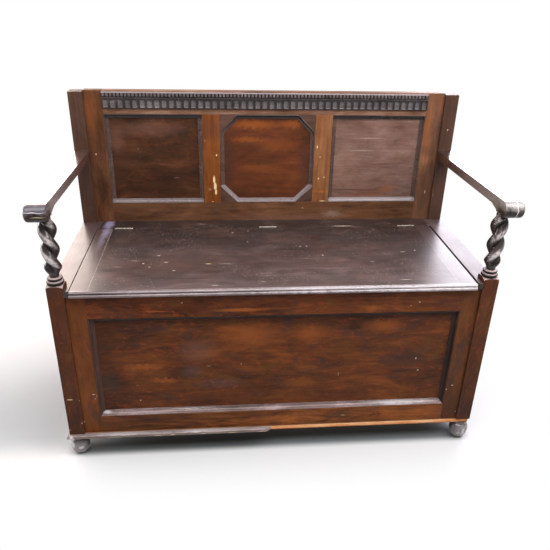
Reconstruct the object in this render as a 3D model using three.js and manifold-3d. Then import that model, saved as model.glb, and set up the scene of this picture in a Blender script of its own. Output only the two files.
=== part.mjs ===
// Settle bench: a box seat with a hinged lid, a panelled back and arms on twist-turned posts.
// Millimetres. X runs along the bench, Y from front to back, Z up from the floor.

import * as THREE from 'three';
import { mergeVertices } from 'three/addons/utils/BufferGeometryUtils.js';
import Module from 'manifold-3d';

const wasm = await Module();
wasm.setup();

// Driving dimensions
const widthOverPosts = 1067;
const depthOverPosts = 466;
const backHeight = 860;
const seatHeight = 488;
const armHeight = 700;
const postWidth = 38;

// Base board, its edge strip and the feet
const baseThickness = 12;
const baseInset = 3;
const edgeReach = 10;
const sideEdgeReach = 5.5;
const edgeThickness = 10;
const edgeFrontLength = 521.5;
const edgeBreakLength = 16;
const sideEdgeBreakStart = 45;
const footHeight = 58;
const footBallRadius = 25;
const footBallHeight = 30;
const footNeckRadius = 15;
const footNeckHeight = 2;
const footCollarRadius = 20;
const footCollarThickness = 6;
const footPadRadius = 15;
const footPadSoleRadius = 13;
const footPadThickness = 6;
const footPadRound = 2;
const footGrooveRadius = 13;

// Framing of the box
const frameSetback = 6;
const frameThickness = 22;
const frontStileWidth = 43;
const frontTopRailHeight = 62;
const frontBottomRailHeight = 50;
const sideTopRailHeight = 62;
const sideBottomRailHeight = 50;
const panelThickness = 8;
const boxBackThickness = 12;
const boxBackInset = 4;

// Applied panel mouldings, measured across and out from the panel
const frontMouldingWidth = 13;
const frontMouldingDepth = 12;
const backMouldingWidth = 12;
const backMouldingDepth = 9;
const mouldingBead = 4;
const mouldingEdge = 1.5;

// Turned upper part of the front posts
const pommelTopAboveSeat = 12;
const pommelDrop = 6;
const pommelTopRadius = 17;
const lowerRingRadius = 20;
const lowerRingThickness = 11;
const upperRingRadius = 17.5;
const upperRingThickness = 8;
const neckRadius = 10.5;
const twistRadius = 20.5;
const twistStrandRadius = 12.6;
const twistPitch = 96;
const twistCrestAboveArmBase = 39.5;
const twistFadeBottom = 26;
const twistFadeTop = 16;
const capitalRingRadius = 14.5;
const capitalRingThickness = 6;

// Arms
const armThickness = 22.5;
const armInnerInsetRear = 2.5;
const armWidthRear = 38;
const armInnerInsetFront = 6.5;
const armWidthFront = 46.5;
const armSeatGap = 0.3;
const noseRadius = 20;
const noseReach = 23.5;
const noseCreaseBack = 4.5;
const noseCreaseRise = 6;
const noseFilletLength = 50;
const noseFilletRise = 3;
const noseEdgeRound = 6;

// Seat boards and lid
const seatThickness = 16;
const seatOpeningInset = 10;
const rearJointStep = 5.5;
const hingeLineFromBack = 52;
const lidSideGapLeft = 2;
const lidSideGapRight = 5.5;
const lidRearGap = 1.2;
const lidRestGap = 0.3;
const cleatWidth = 42;
const nosingReach = 8.5;
const nosingDepth = 12;
const nosingTorusRadius = 4.5;
const nosingTopRadius = 4.5;
const nosingTopSetback = 2.5;
const nosingGroove = 2;

// Hinges
const hingeCount = 3;
const hingeLength = 50;
const hingeEndInset = 70;
const hingeLeafThickness = 1.4;
const hingeLeafGap = 0.4;
const hingeLeafHeight = 14;
const hingeBarrelRadius = 2.4;
const hingeBarrelRise = 0.6;
const hingePinRadius = 1.2;
const hingeRunningGap = 0.3;
const hingeKnuckles = 5;

// Back
const rearPostDrop = 3;
const backSetback = 8;
const backThickness = 25;
const backStileWidth = 48.5;
const backTopRailHeight = 62;
const backRailAboveSeat = 55;
const backRailBelowSeat = 38;
const centrePanelWidth = 269;
const muntinWidth = 48;
const octagonCut = 48;
const spandrelSetback = 1;

// Carved strip on the top rail
const carvedDrop = 3;
const carvedHeight = 44;
const carvedReach = 6;
const carvedFluteCount = 46;
const carvedFluteDepth = 3.2;
const carvedFluteWidth = 13;
const carvedFluteSlope = 2;
const carvedFilletHeight = 3;
const carvedReedHeight = 10;
const carvedReedReach = 4;
const carvedGrooveHeight = 2;
const carvedGrooveReach = 1.6;
const carvedBeadHeight = 3;
const carvedFootMargin = 3;
const carvedUndercut = 2;

// Facet counts
const turnedSegments = 28;
const footSegments = 28;
const pommelSegments = 48;
const twistRows = 54;
const arcSteps = 6;
const mouldingSteps = 4;
const edgeRoundSteps = 3;
const fluteHeadSteps = 5;
const barrelSegments = 14;

const cutOverrun = 5;

// Places worked out from the sizes above
const halfWidth = widthOverPosts / 2;
const postInner = halfWidth - postWidth;
const postAxisX = halfWidth - postWidth / 2;
const postAxisY = postWidth / 2;
const rearPostFront = depthOverPosts - postWidth;
const baseTop = footHeight + baseThickness;
const seatUnderside = seatHeight - seatThickness;
const armUnderside = armHeight - armThickness;
const pommelTop = seatHeight + pommelTopAboveSeat;
const stileInner = postInner - frontStileWidth;
const backFace = rearPostFront + backSetback;
const backStileInner = postInner - backStileWidth;
const backPanelTop = backHeight - backTopRailHeight;
const backPanelBottom = seatHeight + backRailAboveSeat;
const backRailBottom = seatHeight - backRailBelowSeat;
const hingeY = rearPostFront - hingeLineFromBack;
const hingeZ = seatHeight + hingeBarrelRise;
const seatOpening = postInner - seatOpeningInset;
const lidLeft = -seatOpening + lidSideGapLeft;
const lidRight = seatOpening - lidSideGapRight;
const lidUnderside = seatUnderside + lidRestGap;

// Colours of the stained oak, the bare wood and the hinge metal
const colours = {
  post: 0x54302a,
  stile: 0x6d3f24,
  rail: 0x5c3322,
  panel: 0x5a3221,
  moulding: 0x4a2a1e,
  seat: 0x4d3c38,
  carving: 0x3a302d,
  back: 0x5e3724,
  base: 0xb06a3a,
  edge: 0x7a6660,
  foot: 0x4a403c,
  steel: 0xa8a090,
};

function wood(colour, roughness = 0.42) {
  return new THREE.MeshStandardMaterial({ color: colour, roughness, metalness: 0 });
}

function metal(colour) {
  return new THREE.MeshStandardMaterial({ color: colour, roughness: 0.45, metalness: 1 });
}

// Merges shared corners and drops triangles without area
function weld(geometry) {
  geometry.deleteAttribute('normal');
  geometry.deleteAttribute('uv');
  const merged = mergeVertices(geometry);
  const index = merged.index.array;
  const kept = [];
  for (let i = 0; i < index.length; i += 3) {
    const [a, b, c] = [index[i], index[i + 1], index[i + 2]];
    if (a !== b && b !== c && c !== a) kept.push(a, b, c);
  }
  merged.setIndex(kept);
  return merged;
}

function signedVolume(geometry) {
  const position = geometry.attributes.position;
  const index = geometry.index.array;
  const [a, b, c] = [new THREE.Vector3(), new THREE.Vector3(), new THREE.Vector3()];
  let volume = 0;
  for (let i = 0; i < index.length; i += 3) {
    a.fromBufferAttribute(position, index[i]);
    b.fromBufferAttribute(position, index[i + 1]);
    c.fromBufferAttribute(position, index[i + 2]);
    volume += a.dot(b.cross(c)) / 6;
  }
  return volume;
}

// Turns every face outward
function faceOut(geometry) {
  if (signedVolume(geometry) < 0) {
    const index = geometry.index.array;
    for (let i = 0; i < index.length; i += 3) [index[i], index[i + 1]] = [index[i + 1], index[i]];
  }
  return geometry;
}

function block(x0, x1, y0, y1, z0, z1) {
  const box = new THREE.BoxGeometry(x1 - x0, y1 - y0, z1 - z0);
  box.translate((x0 + x1) / 2, (y0 + y1) / 2, (z0 + z1) / 2);
  return weld(box);
}

// Skins a run of matching rings of points; an open run is capped at both ends
function loft(rings, outline, closed = false) {
  const count = rings[0].length;
  const positions = rings.flat().flatMap((point) => [point.x, point.y, point.z]);
  const index = [];
  const spans = closed ? rings.length : rings.length - 1;
  for (let i = 0; i < spans; i++) {
    const next = (i + 1) % rings.length;
    for (let j = 0; j < count; j++) {
      const k = (j + 1) % count;
      const [a, b, c, d] = [i * count + j, i * count + k, next * count + k, next * count + j];
      index.push(a, b, c, a, c, d);
    }
  }
  if (!closed) {
    const last = (rings.length - 1) * count;
    const [first, second] = THREE.ShapeUtils.isClockWise(outline) ? [last, 0] : [0, last];
    for (const [a, b, c] of THREE.ShapeUtils.triangulateShape(outline, [])) {
      index.push(first + c, first + b, first + a, second + a, second + b, second + c);
    }
  }
  const geometry = new THREE.BufferGeometry();
  geometry.setAttribute('position', new THREE.Float32BufferAttribute(positions, 3));
  geometry.setIndex(index);
  return faceOut(weld(geometry));
}

// A prism of an outline, placed by a function of the outline point and the end
function prism(outline, place, ends) {
  return loft(ends.map((end) => outline.map((point) => place(point, end))), outline);
}

const alongX = (point, x) => new THREE.Vector3(x, point.x, point.y);
const alongZ = (point, z) => new THREE.Vector3(point.x, point.y, z);
const alongY = (point, y) => new THREE.Vector3(point.x, y, point.y);

function corner(u, v) {
  return new THREE.Vector2(u, v);
}

function arc(u, v, radius, from, to, steps = arcSteps) {
  const points = [];
  for (let i = 0; i <= steps; i++) {
    const angle = THREE.MathUtils.degToRad(from + ((to - from) * i) / steps);
    points.push(corner(u + radius * Math.cos(angle), v + radius * Math.sin(angle)));
  }
  return points;
}

// Quarter of an ellipse from radius b at height z0 in to radius a at height z1
function quarter(a, b, z0, z1) {
  const points = [];
  for (let i = 0; i <= arcSteps; i++) {
    const angle = (Math.PI / 2) * (i / arcSteps);
    points.push(corner(a + (b - a) * Math.cos(angle), z0 + (z1 - z0) * Math.sin(angle)));
  }
  return points;
}

// Turns a half section about the Z axis through (x, y)
function revolve(section, segments, x, y) {
  const lathe = new THREE.LatheGeometry(section, segments);
  lathe.rotateX(Math.PI / 2);
  lathe.translate(x, y, 0);
  return faceOut(weld(lathe));
}

function mirrored(geometry) {
  const copy = geometry.clone();
  copy.scale(-1, 1, 1);
  return faceOut(copy);
}

function toSolid(geometry) {
  const mesh = new wasm.Mesh({
    numProp: 3,
    vertProperties: new Float32Array(geometry.attributes.position.array),
    triVerts: new Uint32Array(geometry.index.array),
  });
  return new wasm.Manifold(mesh);
}

function fromSolid(solid) {
  const { vertProperties, triVerts } = solid.getMesh();
  const geometry = new THREE.BufferGeometry();
  geometry.setAttribute('position', new THREE.Float32BufferAttribute(vertProperties, 3));
  geometry.setIndex(Array.from(triVerts));
  return faceOut(weld(geometry));
}

function cut(geometry, ...cutters) {
  let solid = toSolid(geometry);
  for (const cutter of cutters) solid = solid.subtract(toSolid(cutter));
  return fromSolid(solid);
}

const bench = new THREE.Group();
bench.position.y = (noseReach - depthOverPosts) / 2;

// The lid group turns about the line of its hinge pins
const lid = new THREE.Group();
lid.position.set(0, hingeY, hingeZ);
bench.add(lid);

function addPiece(name, geometry, material, parent = bench) {
  const mesh = new THREE.Mesh(geometry, material);
  mesh.name = name;
  if (parent === lid) geometry.translate(0, -hingeY, -hingeZ);
  parent.add(mesh);
}

function addPair(name, geometry, material, parent = bench) {
  addPiece(`${name}_right`, geometry, material, parent);
  addPiece(`${name}_left`, mirrored(geometry), material.clone(), parent);
}

// Turned part of a front post

function ringRows(radius, thickness, bottom) {
  const tube = thickness / 2;
  const rows = [];
  for (const point of arc(radius - tube, bottom + tube, tube, -90, 90)) {
    rows.push({ z: point.y, radius: point.x, lobe: 0 });
  }
  return rows;
}

function twistRow(z, bottom, top) {
  const rise = THREE.MathUtils.smoothstep(z, bottom, bottom + twistFadeBottom);
  const fall = 1 - THREE.MathUtils.smoothstep(z, top - twistFadeTop, top);
  return { z, radius: neckRadius, lobe: rise * fall };
}

// Outline of two round strands side by side, as the distance from the axis
function strandReach(around) {
  const offset = twistRadius - twistStrandRadius;
  const across = offset * Math.sin(around);
  return offset * Math.abs(Math.cos(around)) + Math.sqrt(twistStrandRadius ** 2 - across ** 2);
}

function turnedGeometry() {
  const lowerRingBottom = pommelTop;
  const upperRingBottom = lowerRingBottom + lowerRingThickness;
  const twistBottom = upperRingBottom + upperRingThickness;
  const twistTop = armUnderside - 2 * capitalRingThickness;
  const crest = armUnderside - twistCrestAboveArmBase;
  const lowerCore = lowerRingRadius - lowerRingThickness / 2;
  const rows = [{ z: pommelTop - pommelDrop, radius: lowerCore, lobe: 0 }];
  rows.push(...ringRows(lowerRingRadius, lowerRingThickness, lowerRingBottom));
  rows.push(...ringRows(upperRingRadius, upperRingThickness, upperRingBottom));
  for (let i = 0; i <= twistRows; i++) {
    rows.push(twistRow(twistBottom + ((twistTop - twistBottom) * i) / twistRows, twistBottom, twistTop));
  }
  rows.push(...ringRows(capitalRingRadius, capitalRingThickness, twistTop));
  rows.push(...ringRows(capitalRingRadius, capitalRingThickness, twistTop + capitalRingThickness));
  const rings = rows.map(({ z, radius, lobe }) => {
    const turn = ((THREE.MathUtils.clamp(z, twistBottom, twistTop) - crest) / twistPitch) * 2 * Math.PI;
    const ring = [];
    for (let i = 0; i < turnedSegments; i++) {
      const around = (i / turnedSegments) * 2 * Math.PI;
      const r = THREE.MathUtils.lerp(radius, strandReach(around), lobe);
      ring.push(new THREE.Vector3(
        postAxisX + r * Math.cos(around + turn),
        postAxisY + r * Math.sin(around + turn),
        z,
      ));
    }
    return ring;
  });
  const cap = rings[0].map((point) => corner(point.x, point.y));
  return loft(rings, cap);
}

function frontPostGeometry() {
  const square = block(postInner, halfWidth, 0, postWidth, baseTop, pommelTop + cutOverrun);
  const cornerRadius = (postWidth / 2) * Math.SQRT2;
  const flank = cornerRadius + cutOverrun;
  const section = [corner(0, baseTop - cutOverrun), corner(flank, baseTop - cutOverrun)];
  section.push(corner(flank, pommelTop - pommelDrop));
  section.push(...quarter(pommelTopRadius, cornerRadius, pommelTop - pommelDrop, pommelTop));
  section.push(corner(0, pommelTop));
  const pommel = revolve(section, pommelSegments, postAxisX, postAxisY);
  const lower = toSolid(square).intersect(toSolid(pommel));
  const post = lower.add(toSolid(turnedGeometry()));
  const seat = prism(armSection(), alongX, [postInner - cutOverrun, halfWidth + cutOverrun]);
  seat.translate(0, 0, -armSeatGap);
  return fromSolid(post.subtract(toSolid(seat)));
}

function addPosts() {
  addPair('front_post', frontPostGeometry(), wood(colours.post));
  const rearTop = backHeight - rearPostDrop;
  const rear = block(postInner, halfWidth, rearPostFront, depthOverPosts, 0, rearTop);
  addPair('rear_post', rear, wood(colours.post));
}

// Base board, edge strips and bun feet

function addBase() {
  const reach = halfWidth - baseInset;
  const outline = [
    corner(-reach, baseInset),
    corner(reach, baseInset),
    corner(reach, rearPostFront),
    corner(postInner, rearPostFront),
    corner(postInner, depthOverPosts),
    corner(-postInner, depthOverPosts),
    corner(-postInner, rearPostFront),
    corner(-reach, rearPostFront),
  ];
  addPiece('base_board', prism(outline, alongZ, [footHeight, baseTop]), wood(colours.base, 0.6));
}

// Section of the rounded edge strip: outward reach and height
function edgeSection() {
  const round = edgeThickness / 2;
  const points = arc(edgeReach - round, baseTop - round, round, -90, 90);
  points.push(corner(-baseInset, baseTop), corner(-baseInset, baseTop - edgeThickness));
  return points;
}

function addEdgeStrips() {
  const section = edgeSection();
  const sideways = (reach) => (reach > 0 ? (reach * sideEdgeReach) / edgeReach : reach);
  const mitre = section.map((point) => new THREE.Vector3(-halfWidth - sideways(point.x), -point.x, point.y));
  const spread = edgeReach + baseInset;
  const broken = section.map((point) => {
    const share = (point.x + baseInset) / spread;
    const end = edgeFrontLength - halfWidth - edgeBreakLength * share;
    return new THREE.Vector3(end, -point.x, point.y);
  });
  addPiece('base_edge_front', loft([mitre, broken], section), wood(colours.edge));
  const leftRear = section.map((point) => {
    return new THREE.Vector3(-halfWidth - sideways(point.x), rearPostFront, point.y);
  });
  addPiece('base_edge_left', loft([mitre, leftRear], section), wood(colours.edge));
  const rightFront = section.map((point) => {
    const share = (point.x + baseInset) / spread;
    const y = sideEdgeBreakStart + edgeBreakLength * share;
    return new THREE.Vector3(halfWidth + sideways(point.x), y, point.y);
  });
  const rightRear = section.map((point) => {
    return new THREE.Vector3(halfWidth + sideways(point.x), rearPostFront, point.y);
  });
  addPiece('base_edge_right', loft([rightFront, rightRear], section), wood(colours.edge));
}

function addFeet() {
  const neckTop = footHeight - footCollarThickness;
  const ballTop = neckTop - footNeckHeight;
  const lowerHalf = quarter(footGrooveRadius, footBallRadius, footBallHeight, footPadThickness).reverse();
  const upperHalf = quarter(footNeckRadius, footBallRadius, footBallHeight, ballTop);
  const section = [
    corner(0, 0),
    corner(footPadSoleRadius, 0),
    corner(footPadRadius, footPadRound),
    corner(footPadRadius, footPadThickness - footPadRound),
    ...lowerHalf,
    ...upperHalf.slice(1),
    corner(footNeckRadius, neckTop),
    corner(footCollarRadius, neckTop),
    corner(footCollarRadius, footHeight),
    corner(0, footHeight),
  ];
  addPair('bun_foot', revolve(section, footSegments, postAxisX, postAxisY), wood(colours.foot));
}

// Front, sides and back of the box

function addBoxFront() {
  const face = frameSetback;
  const rear = frameSetback + frameThickness;
  const topRailBottom = seatUnderside - frontTopRailHeight;
  const bottomRailTop = baseTop + frontBottomRailHeight;
  const stile = block(stileInner, postInner, face, rear, baseTop, seatUnderside);
  addPair('front_stile', stile, wood(colours.stile));
  const topRail = block(-stileInner, stileInner, face, rear, topRailBottom, seatUnderside);
  addPiece('front_top_rail', topRail, wood(colours.rail));
  const bottomRail = block(-stileInner, stileInner, face, rear, baseTop, bottomRailTop);
  addPiece('front_bottom_rail', bottomRail, wood(colours.rail));
  const panelFace = face + frontMouldingDepth;
  const panel = block(-stileInner, stileInner, panelFace, panelFace + panelThickness, bottomRailTop, topRailBottom);
  addPiece('front_panel', panel, wood(colours.panel));
  const corners = rectangle(-stileInner, stileInner, bottomRailTop, topRailBottom);
  const section = mouldingSection(frontMouldingWidth, frontMouldingDepth);
  const rings = mouldingRings(corners, section, panelFace);
  const sides = ['bottom', 'right', 'top', 'left'];
  sides.forEach((side, i) => {
    const strip = loft([rings[i], rings[(i + 1) % rings.length]], section);
    addPiece(`front_moulding_${side}`, strip, wood(colours.moulding));
  });
}

function addBoxSides() {
  const outer = halfWidth - frameSetback;
  const inner = outer - frameThickness;
  const topRailBottom = seatUnderside - sideTopRailHeight;
  const bottomRailTop = baseTop + sideBottomRailHeight;
  const topRail = block(inner, outer, postWidth, rearPostFront, topRailBottom, seatUnderside);
  addPair('side_top_rail', topRail, wood(colours.rail));
  const bottomRail = block(inner, outer, postWidth, rearPostFront, baseTop, bottomRailTop);
  addPair('side_bottom_rail', bottomRail, wood(colours.rail));
  const panelOuter = outer - frontMouldingDepth;
  const panelInner = panelOuter - panelThickness;
  const panel = block(panelInner, panelOuter, postWidth, rearPostFront, bottomRailTop, topRailBottom);
  addPair('side_panel', panel, wood(colours.panel));
}

function addBoxBack() {
  const front = backFace + boxBackInset;
  const board = block(-postInner, postInner, front, front + boxBackThickness, baseTop, backRailBottom);
  addPiece('box_back_board', board, wood(colours.panel));
}

// Mouldings planted round a panel

function rectangle(left, right, bottom, top) {
  return [corner(left, bottom), corner(right, bottom), corner(right, top), corner(left, top)];
}

// Bead at the frame edge and a cove down to the panel: inward reach and height above the panel
function mouldingSection(width, depth) {
  const bead = mouldingBead / 2;
  const cove = new THREE.QuadraticBezierCurve(
    corner(mouldingBead, depth - mouldingBead),
    corner(mouldingBead, mouldingEdge),
    corner(width, mouldingEdge),
  );
  const points = [corner(0, 0), ...arc(bead, depth - bead, bead, 180, 0, mouldingSteps)];
  points.push(...cove.getPoints(mouldingSteps), corner(width, 0));
  return points;
}

// One ring of the section at each corner, mitred between the two sides that meet there
function mouldingRings(corners, section, panelFace) {
  return corners.map((here, i) => {
    const before = corners[(i + corners.length - 1) % corners.length];
    const after = corners[(i + 1) % corners.length];
    const a = here.clone().sub(before).normalize();
    const b = after.clone().sub(here).normalize();
    const inward = corner(-a.y - b.y, a.x + b.x).divideScalar(1 + a.dot(b));
    return section.map((point) => new THREE.Vector3(
      here.x + inward.x * point.x,
      panelFace - point.y,
      here.y + inward.y * point.x,
    ));
  });
}

function mouldingFrame(corners, section, panelFace) {
  return loft(mouldingRings(corners, section, panelFace), section, true);
}

// Fixed seat boards

function addSeatBoards() {
  const jointX = seatOpening - rearJointStep;
  const stripFront = hingeY + lidRearGap / 2;
  const outline = [
    corner(seatOpening, 0),
    corner(postInner, 0),
    corner(postInner, postWidth),
    corner(halfWidth, postWidth),
    corner(halfWidth, rearPostFront),
    corner(postInner, rearPostFront),
    corner(postInner, backFace),
    corner(jointX, backFace),
    corner(jointX, stripFront),
    corner(seatOpening, stripFront),
  ];
  const board = prism(outline, alongZ, [seatUnderside, seatHeight]);
  addPair('seat_side_board', board, wood(colours.seat, 0.25));
  const strip = block(-jointX, jointX, stripFront, backFace, seatUnderside, seatHeight);
  addPiece('seat_rear_strip', cut(strip, ...hingePockets(1)), wood(colours.seat, 0.25));
}

// Lid: a wide board between two cleats, with a moulded nosing along the front

function nosingSection(front) {
  const torusZ = lidUnderside + nosingTorusRadius;
  const torusY = front + nosingTorusRadius;
  const topZ = seatHeight - nosingTopRadius;
  const points = [corner(front + nosingDepth, lidUnderside)];
  points.push(...arc(torusY, torusZ, nosingTorusRadius, 270, 90));
  points.push(corner(torusY + nosingGroove, torusZ + nosingTorusRadius));
  points.push(corner(torusY + nosingGroove, topZ));
  points.push(...arc(front + nosingTopSetback + nosingTopRadius, topZ, nosingTopRadius, 180, 90));
  points.push(corner(front + nosingDepth, seatHeight));
  return points;
}

function addLid() {
  const front = -nosingReach;
  const boardFront = front + nosingDepth;
  const rear = hingeY - lidRearGap / 2;
  const nosing = prism(nosingSection(front), alongX, [lidLeft, lidRight]);
  addPiece('lid_nosing', nosing, wood(colours.seat, 0.25), lid);
  const board = block(lidLeft + cleatWidth, lidRight - cleatWidth, boardFront, rear, lidUnderside, seatHeight);
  addPiece('lid_board', cut(board, ...hingePockets(-1)), wood(colours.seat, 0.25), lid);
  const leftCleat = block(lidLeft, lidLeft + cleatWidth, boardFront, rear, lidUnderside, seatHeight);
  addPiece('lid_cleat_left', leftCleat, wood(colours.seat, 0.25), lid);
  const rightCleat = block(lidRight - cleatWidth, lidRight, boardFront, rear, lidUnderside, seatHeight);
  addPiece('lid_cleat_right', rightCleat, wood(colours.seat, 0.25), lid);
}

// Butt hinges let into the meeting edges of the lid and the rear strip

function hingeCentres() {
  const outermost = seatOpening - rearJointStep - hingeEndInset;
  const centres = [];
  for (let i = 0; i < hingeCount; i++) {
    centres.push(THREE.MathUtils.lerp(-outermost, outermost, i / (hingeCount - 1)));
  }
  return centres;
}

// Room for a leaf and the barrel; side is 1 behind the hinge line and -1 in front of it
function hingePockets(side) {
  const half = hingeLength / 2 + hingeRunningGap;
  const leafDepth = side * (hingeLeafGap / 2 + hingeLeafThickness);
  const barrelDepth = side * (hingeBarrelRadius + hingeRunningGap);
  const over = seatHeight + cutOverrun;
  const leafBottom = seatHeight - hingeLeafHeight - hingeRunningGap;
  const barrelBottom = hingeZ - hingeBarrelRadius - hingeRunningGap;
  return hingeCentres().flatMap((x) => [
    pocket(x - half, x + half, leafDepth, leafBottom, over),
    pocket(x - half, x + half, barrelDepth, barrelBottom, over),
  ]);
}

function pocket(x0, x1, depth, z0, z1) {
  const y0 = Math.min(hingeY, hingeY + depth);
  const y1 = Math.max(hingeY, hingeY + depth);
  return block(x0, x1, y0, y1, z0, z1);
}

// A round bar about the hinge line
function bar(x0, x1, radius) {
  const section = [corner(0, x0), corner(radius, x0), corner(radius, x1), corner(0, x1)];
  const lathe = new THREE.LatheGeometry(section, barrelSegments);
  lathe.rotateZ(-Math.PI / 2);
  lathe.translate(0, hingeY, hingeZ);
  return toSolid(faceOut(weld(lathe)));
}

// A leaf with every second knuckle of the barrel, cleared round the knuckles of the other leaf
function leafWithKnuckles(centre, side, ownKnuckles) {
  const start = centre - hingeLength / 2;
  const pitch = hingeLength / hingeKnuckles;
  const gap = hingeRunningGap / 2;
  const inner = hingeY + side * (hingeLeafGap / 2);
  const outer = inner + side * hingeLeafThickness;
  const leafTop = hingeZ - hingePinRadius - hingeRunningGap;
  const leafBottom = seatHeight - hingeLeafHeight;
  const [y0, y1] = [Math.min(inner, outer), Math.max(inner, outer)];
  let solid = toSolid(block(start, start + hingeLength, y0, y1, leafBottom, leafTop));
  for (let i = 0; i < hingeKnuckles; i++) {
    const [x0, x1] = [start + i * pitch, start + (i + 1) * pitch];
    if (i % 2 === ownKnuckles) solid = solid.add(bar(x0 + gap, x1 - gap, hingeBarrelRadius));
    else solid = solid.subtract(bar(x0 - gap, x1 + gap, hingeBarrelRadius + hingeRunningGap));
  }
  return solid;
}

function addHinges() {
  const places = ['left', 'middle', 'right'];
  const half = hingeLength / 2;
  hingeCentres().forEach((centre, i) => {
    const pin = bar(centre - half + hingeRunningGap, centre + half - hingeRunningGap, hingePinRadius);
    const bore = bar(centre - half, centre + half, hingePinRadius + hingeRunningGap);
    const fixed = fromSolid(leafWithKnuckles(centre, 1, 0).add(pin));
    const moving = fromSolid(leafWithKnuckles(centre, -1, 1).subtract(bore));
    addPiece(`hinge_fixed_leaf_${places[i]}`, fixed, metal(colours.steel));
    addPiece(`hinge_moving_leaf_${places[i]}`, moving, metal(colours.steel), lid);
  });
}

// Panelled back

function addBackFrame() {
  const rear = backFace + backThickness;
  const stile = block(backStileInner, postInner, backFace, rear, backRailBottom, backHeight);
  addPair('back_stile', stile, wood(colours.stile));
  const topRail = block(-backStileInner, backStileInner, backFace, rear, backPanelTop, backHeight);
  addPiece('back_top_rail', topRail, wood(colours.back));
  const bottomRail = block(-backStileInner, backStileInner, backFace, rear, backRailBottom, backPanelBottom);
  addPiece('back_bottom_rail', bottomRail, wood(colours.back));
  const muntinInner = centrePanelWidth / 2;
  const muntin = block(muntinInner, muntinInner + muntinWidth, backFace, rear, backPanelBottom, backPanelTop);
  addPair('back_muntin', muntin, wood(colours.stile));
}

function addBackPanels() {
  const panelFace = backFace + backMouldingDepth;
  const panelRear = panelFace + panelThickness;
  const half = centrePanelWidth / 2;
  const left = half + muntinWidth;
  const side = block(left, backStileInner, panelFace, panelRear, backPanelBottom, backPanelTop);
  addPair('back_panel', side, wood(colours.panel));
  const centre = block(-half, half, panelFace, panelRear, backPanelBottom, backPanelTop);
  addPiece('back_panel_centre', centre, wood(colours.panel));
  const section = mouldingSection(backMouldingWidth, backMouldingDepth);
  const sideCorners = rectangle(left, backStileInner, backPanelBottom, backPanelTop);
  addPair('back_moulding', mouldingFrame(sideCorners, section, panelFace), wood(colours.moulding));
  const octagon = [
    corner(-half + octagonCut, backPanelBottom),
    corner(half - octagonCut, backPanelBottom),
    corner(half, backPanelBottom + octagonCut),
    corner(half, backPanelTop - octagonCut),
    corner(half - octagonCut, backPanelTop),
    corner(-half + octagonCut, backPanelTop),
    corner(-half, backPanelTop - octagonCut),
    corner(-half, backPanelBottom + octagonCut),
  ];
  addPiece('back_moulding_centre', mouldingFrame(octagon, section, panelFace), wood(colours.moulding));
}

function addSpandrels() {
  const half = centrePanelWidth / 2;
  const ends = [backFace + spandrelSetback, backFace + backMouldingDepth];
  const upper = [
    corner(half, backPanelTop),
    corner(half - octagonCut, backPanelTop),
    corner(half, backPanelTop - octagonCut),
  ];
  addPair('spandrel_upper', prism(upper, alongY, ends), wood(colours.back));
  const lower = [
    corner(half, backPanelBottom),
    corner(half, backPanelBottom + octagonCut),
    corner(half - octagonCut, backPanelBottom),
  ];
  addPair('spandrel_lower', prism(lower, alongY, ends), wood(colours.back));
}

// Strip along the top rail with a plain reed band over a row of flutes

function addCarvedStrip() {
  const top = backHeight - carvedDrop;
  const reedTop = top - carvedFilletHeight;
  const reedBottom = reedTop - carvedReedHeight;
  const grooveBottom = reedBottom - carvedGrooveHeight;
  const fluteTop = grooveBottom - carvedBeadHeight;
  const bottom = top - carvedHeight;
  const fluteBottom = bottom + carvedFootMargin;
  const out = (reach, z) => corner(backFace - reach, z);
  const section = [
    corner(backFace, top),
    out(carvedReach, top),
    out(carvedReach, reedTop),
    out(carvedReedReach, reedTop),
    out(carvedReedReach, reedBottom),
    out(carvedGrooveReach, reedBottom),
    out(carvedGrooveReach, grooveBottom),
    out(carvedReach, grooveBottom),
    out(carvedReach, fluteBottom),
    out(carvedUndercut, bottom),
    corner(backFace, bottom),
  ];
  const strip = prism(section, alongX, [-backStileInner, backStileInner]);
  const flutes = [];
  const pitch = (2 * backStileInner) / carvedFluteCount;
  for (let i = 0; i < carvedFluteCount; i++) {
    const centre = -backStileInner + (i + 0.5) * pitch;
    flutes.push(flute(centre, fluteBottom, fluteTop));
  }
  addPiece('carved_strip', cut(strip, ...flutes), wood(colours.carving));
}

// Cutter with a round head and sloping walls, widest at the face of the strip
function flute(centre, bottom, top) {
  const outline = (slope) => {
    const half = carvedFluteWidth / 2 - slope;
    const head = arc(centre, top - slope - half, half, 0, 180, fluteHeadSteps);
    return [corner(centre - half, bottom + slope), corner(centre + half, bottom + slope), ...head];
  };
  const ring = (reach, slope) => outline(slope).map((point) => alongY(point, backFace - reach));
  const rings = [
    ring(carvedReach + cutOverrun, 0),
    ring(carvedReach, 0),
    ring(carvedReach - carvedFluteDepth, carvedFluteSlope),
  ];
  return loft(rings, outline(0));
}

// Arms

// Side outline of an arm: depth and height, with a rolled nose hanging at the front.
// The inset draws the roll in toward its own axis.
function armSection(inset = 0) {
  const noseY = noseRadius - noseReach;
  const noseZ = armHeight - noseRadius;
  const creaseY = noseY + noseCreaseBack;
  const creaseZ = armHeight - 2 * noseRadius + noseCreaseRise;
  const hollow = new THREE.QuadraticBezierCurve(
    corner(creaseY, creaseZ),
    corner(creaseY + noseFilletLength / 2, creaseZ + noseFilletRise),
    corner(creaseY + noseFilletLength, armUnderside),
  );
  const points = [corner(rearPostFront, armHeight), corner(noseY + noseFilletLength, armHeight)];
  points.push(...arc(noseY, noseZ, noseRadius - inset, 90, 270, 2 * arcSteps));
  points.push(...hollow.getPoints(arcSteps));
  points.push(corner(rearPostFront, armUnderside));
  return points;
}

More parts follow.
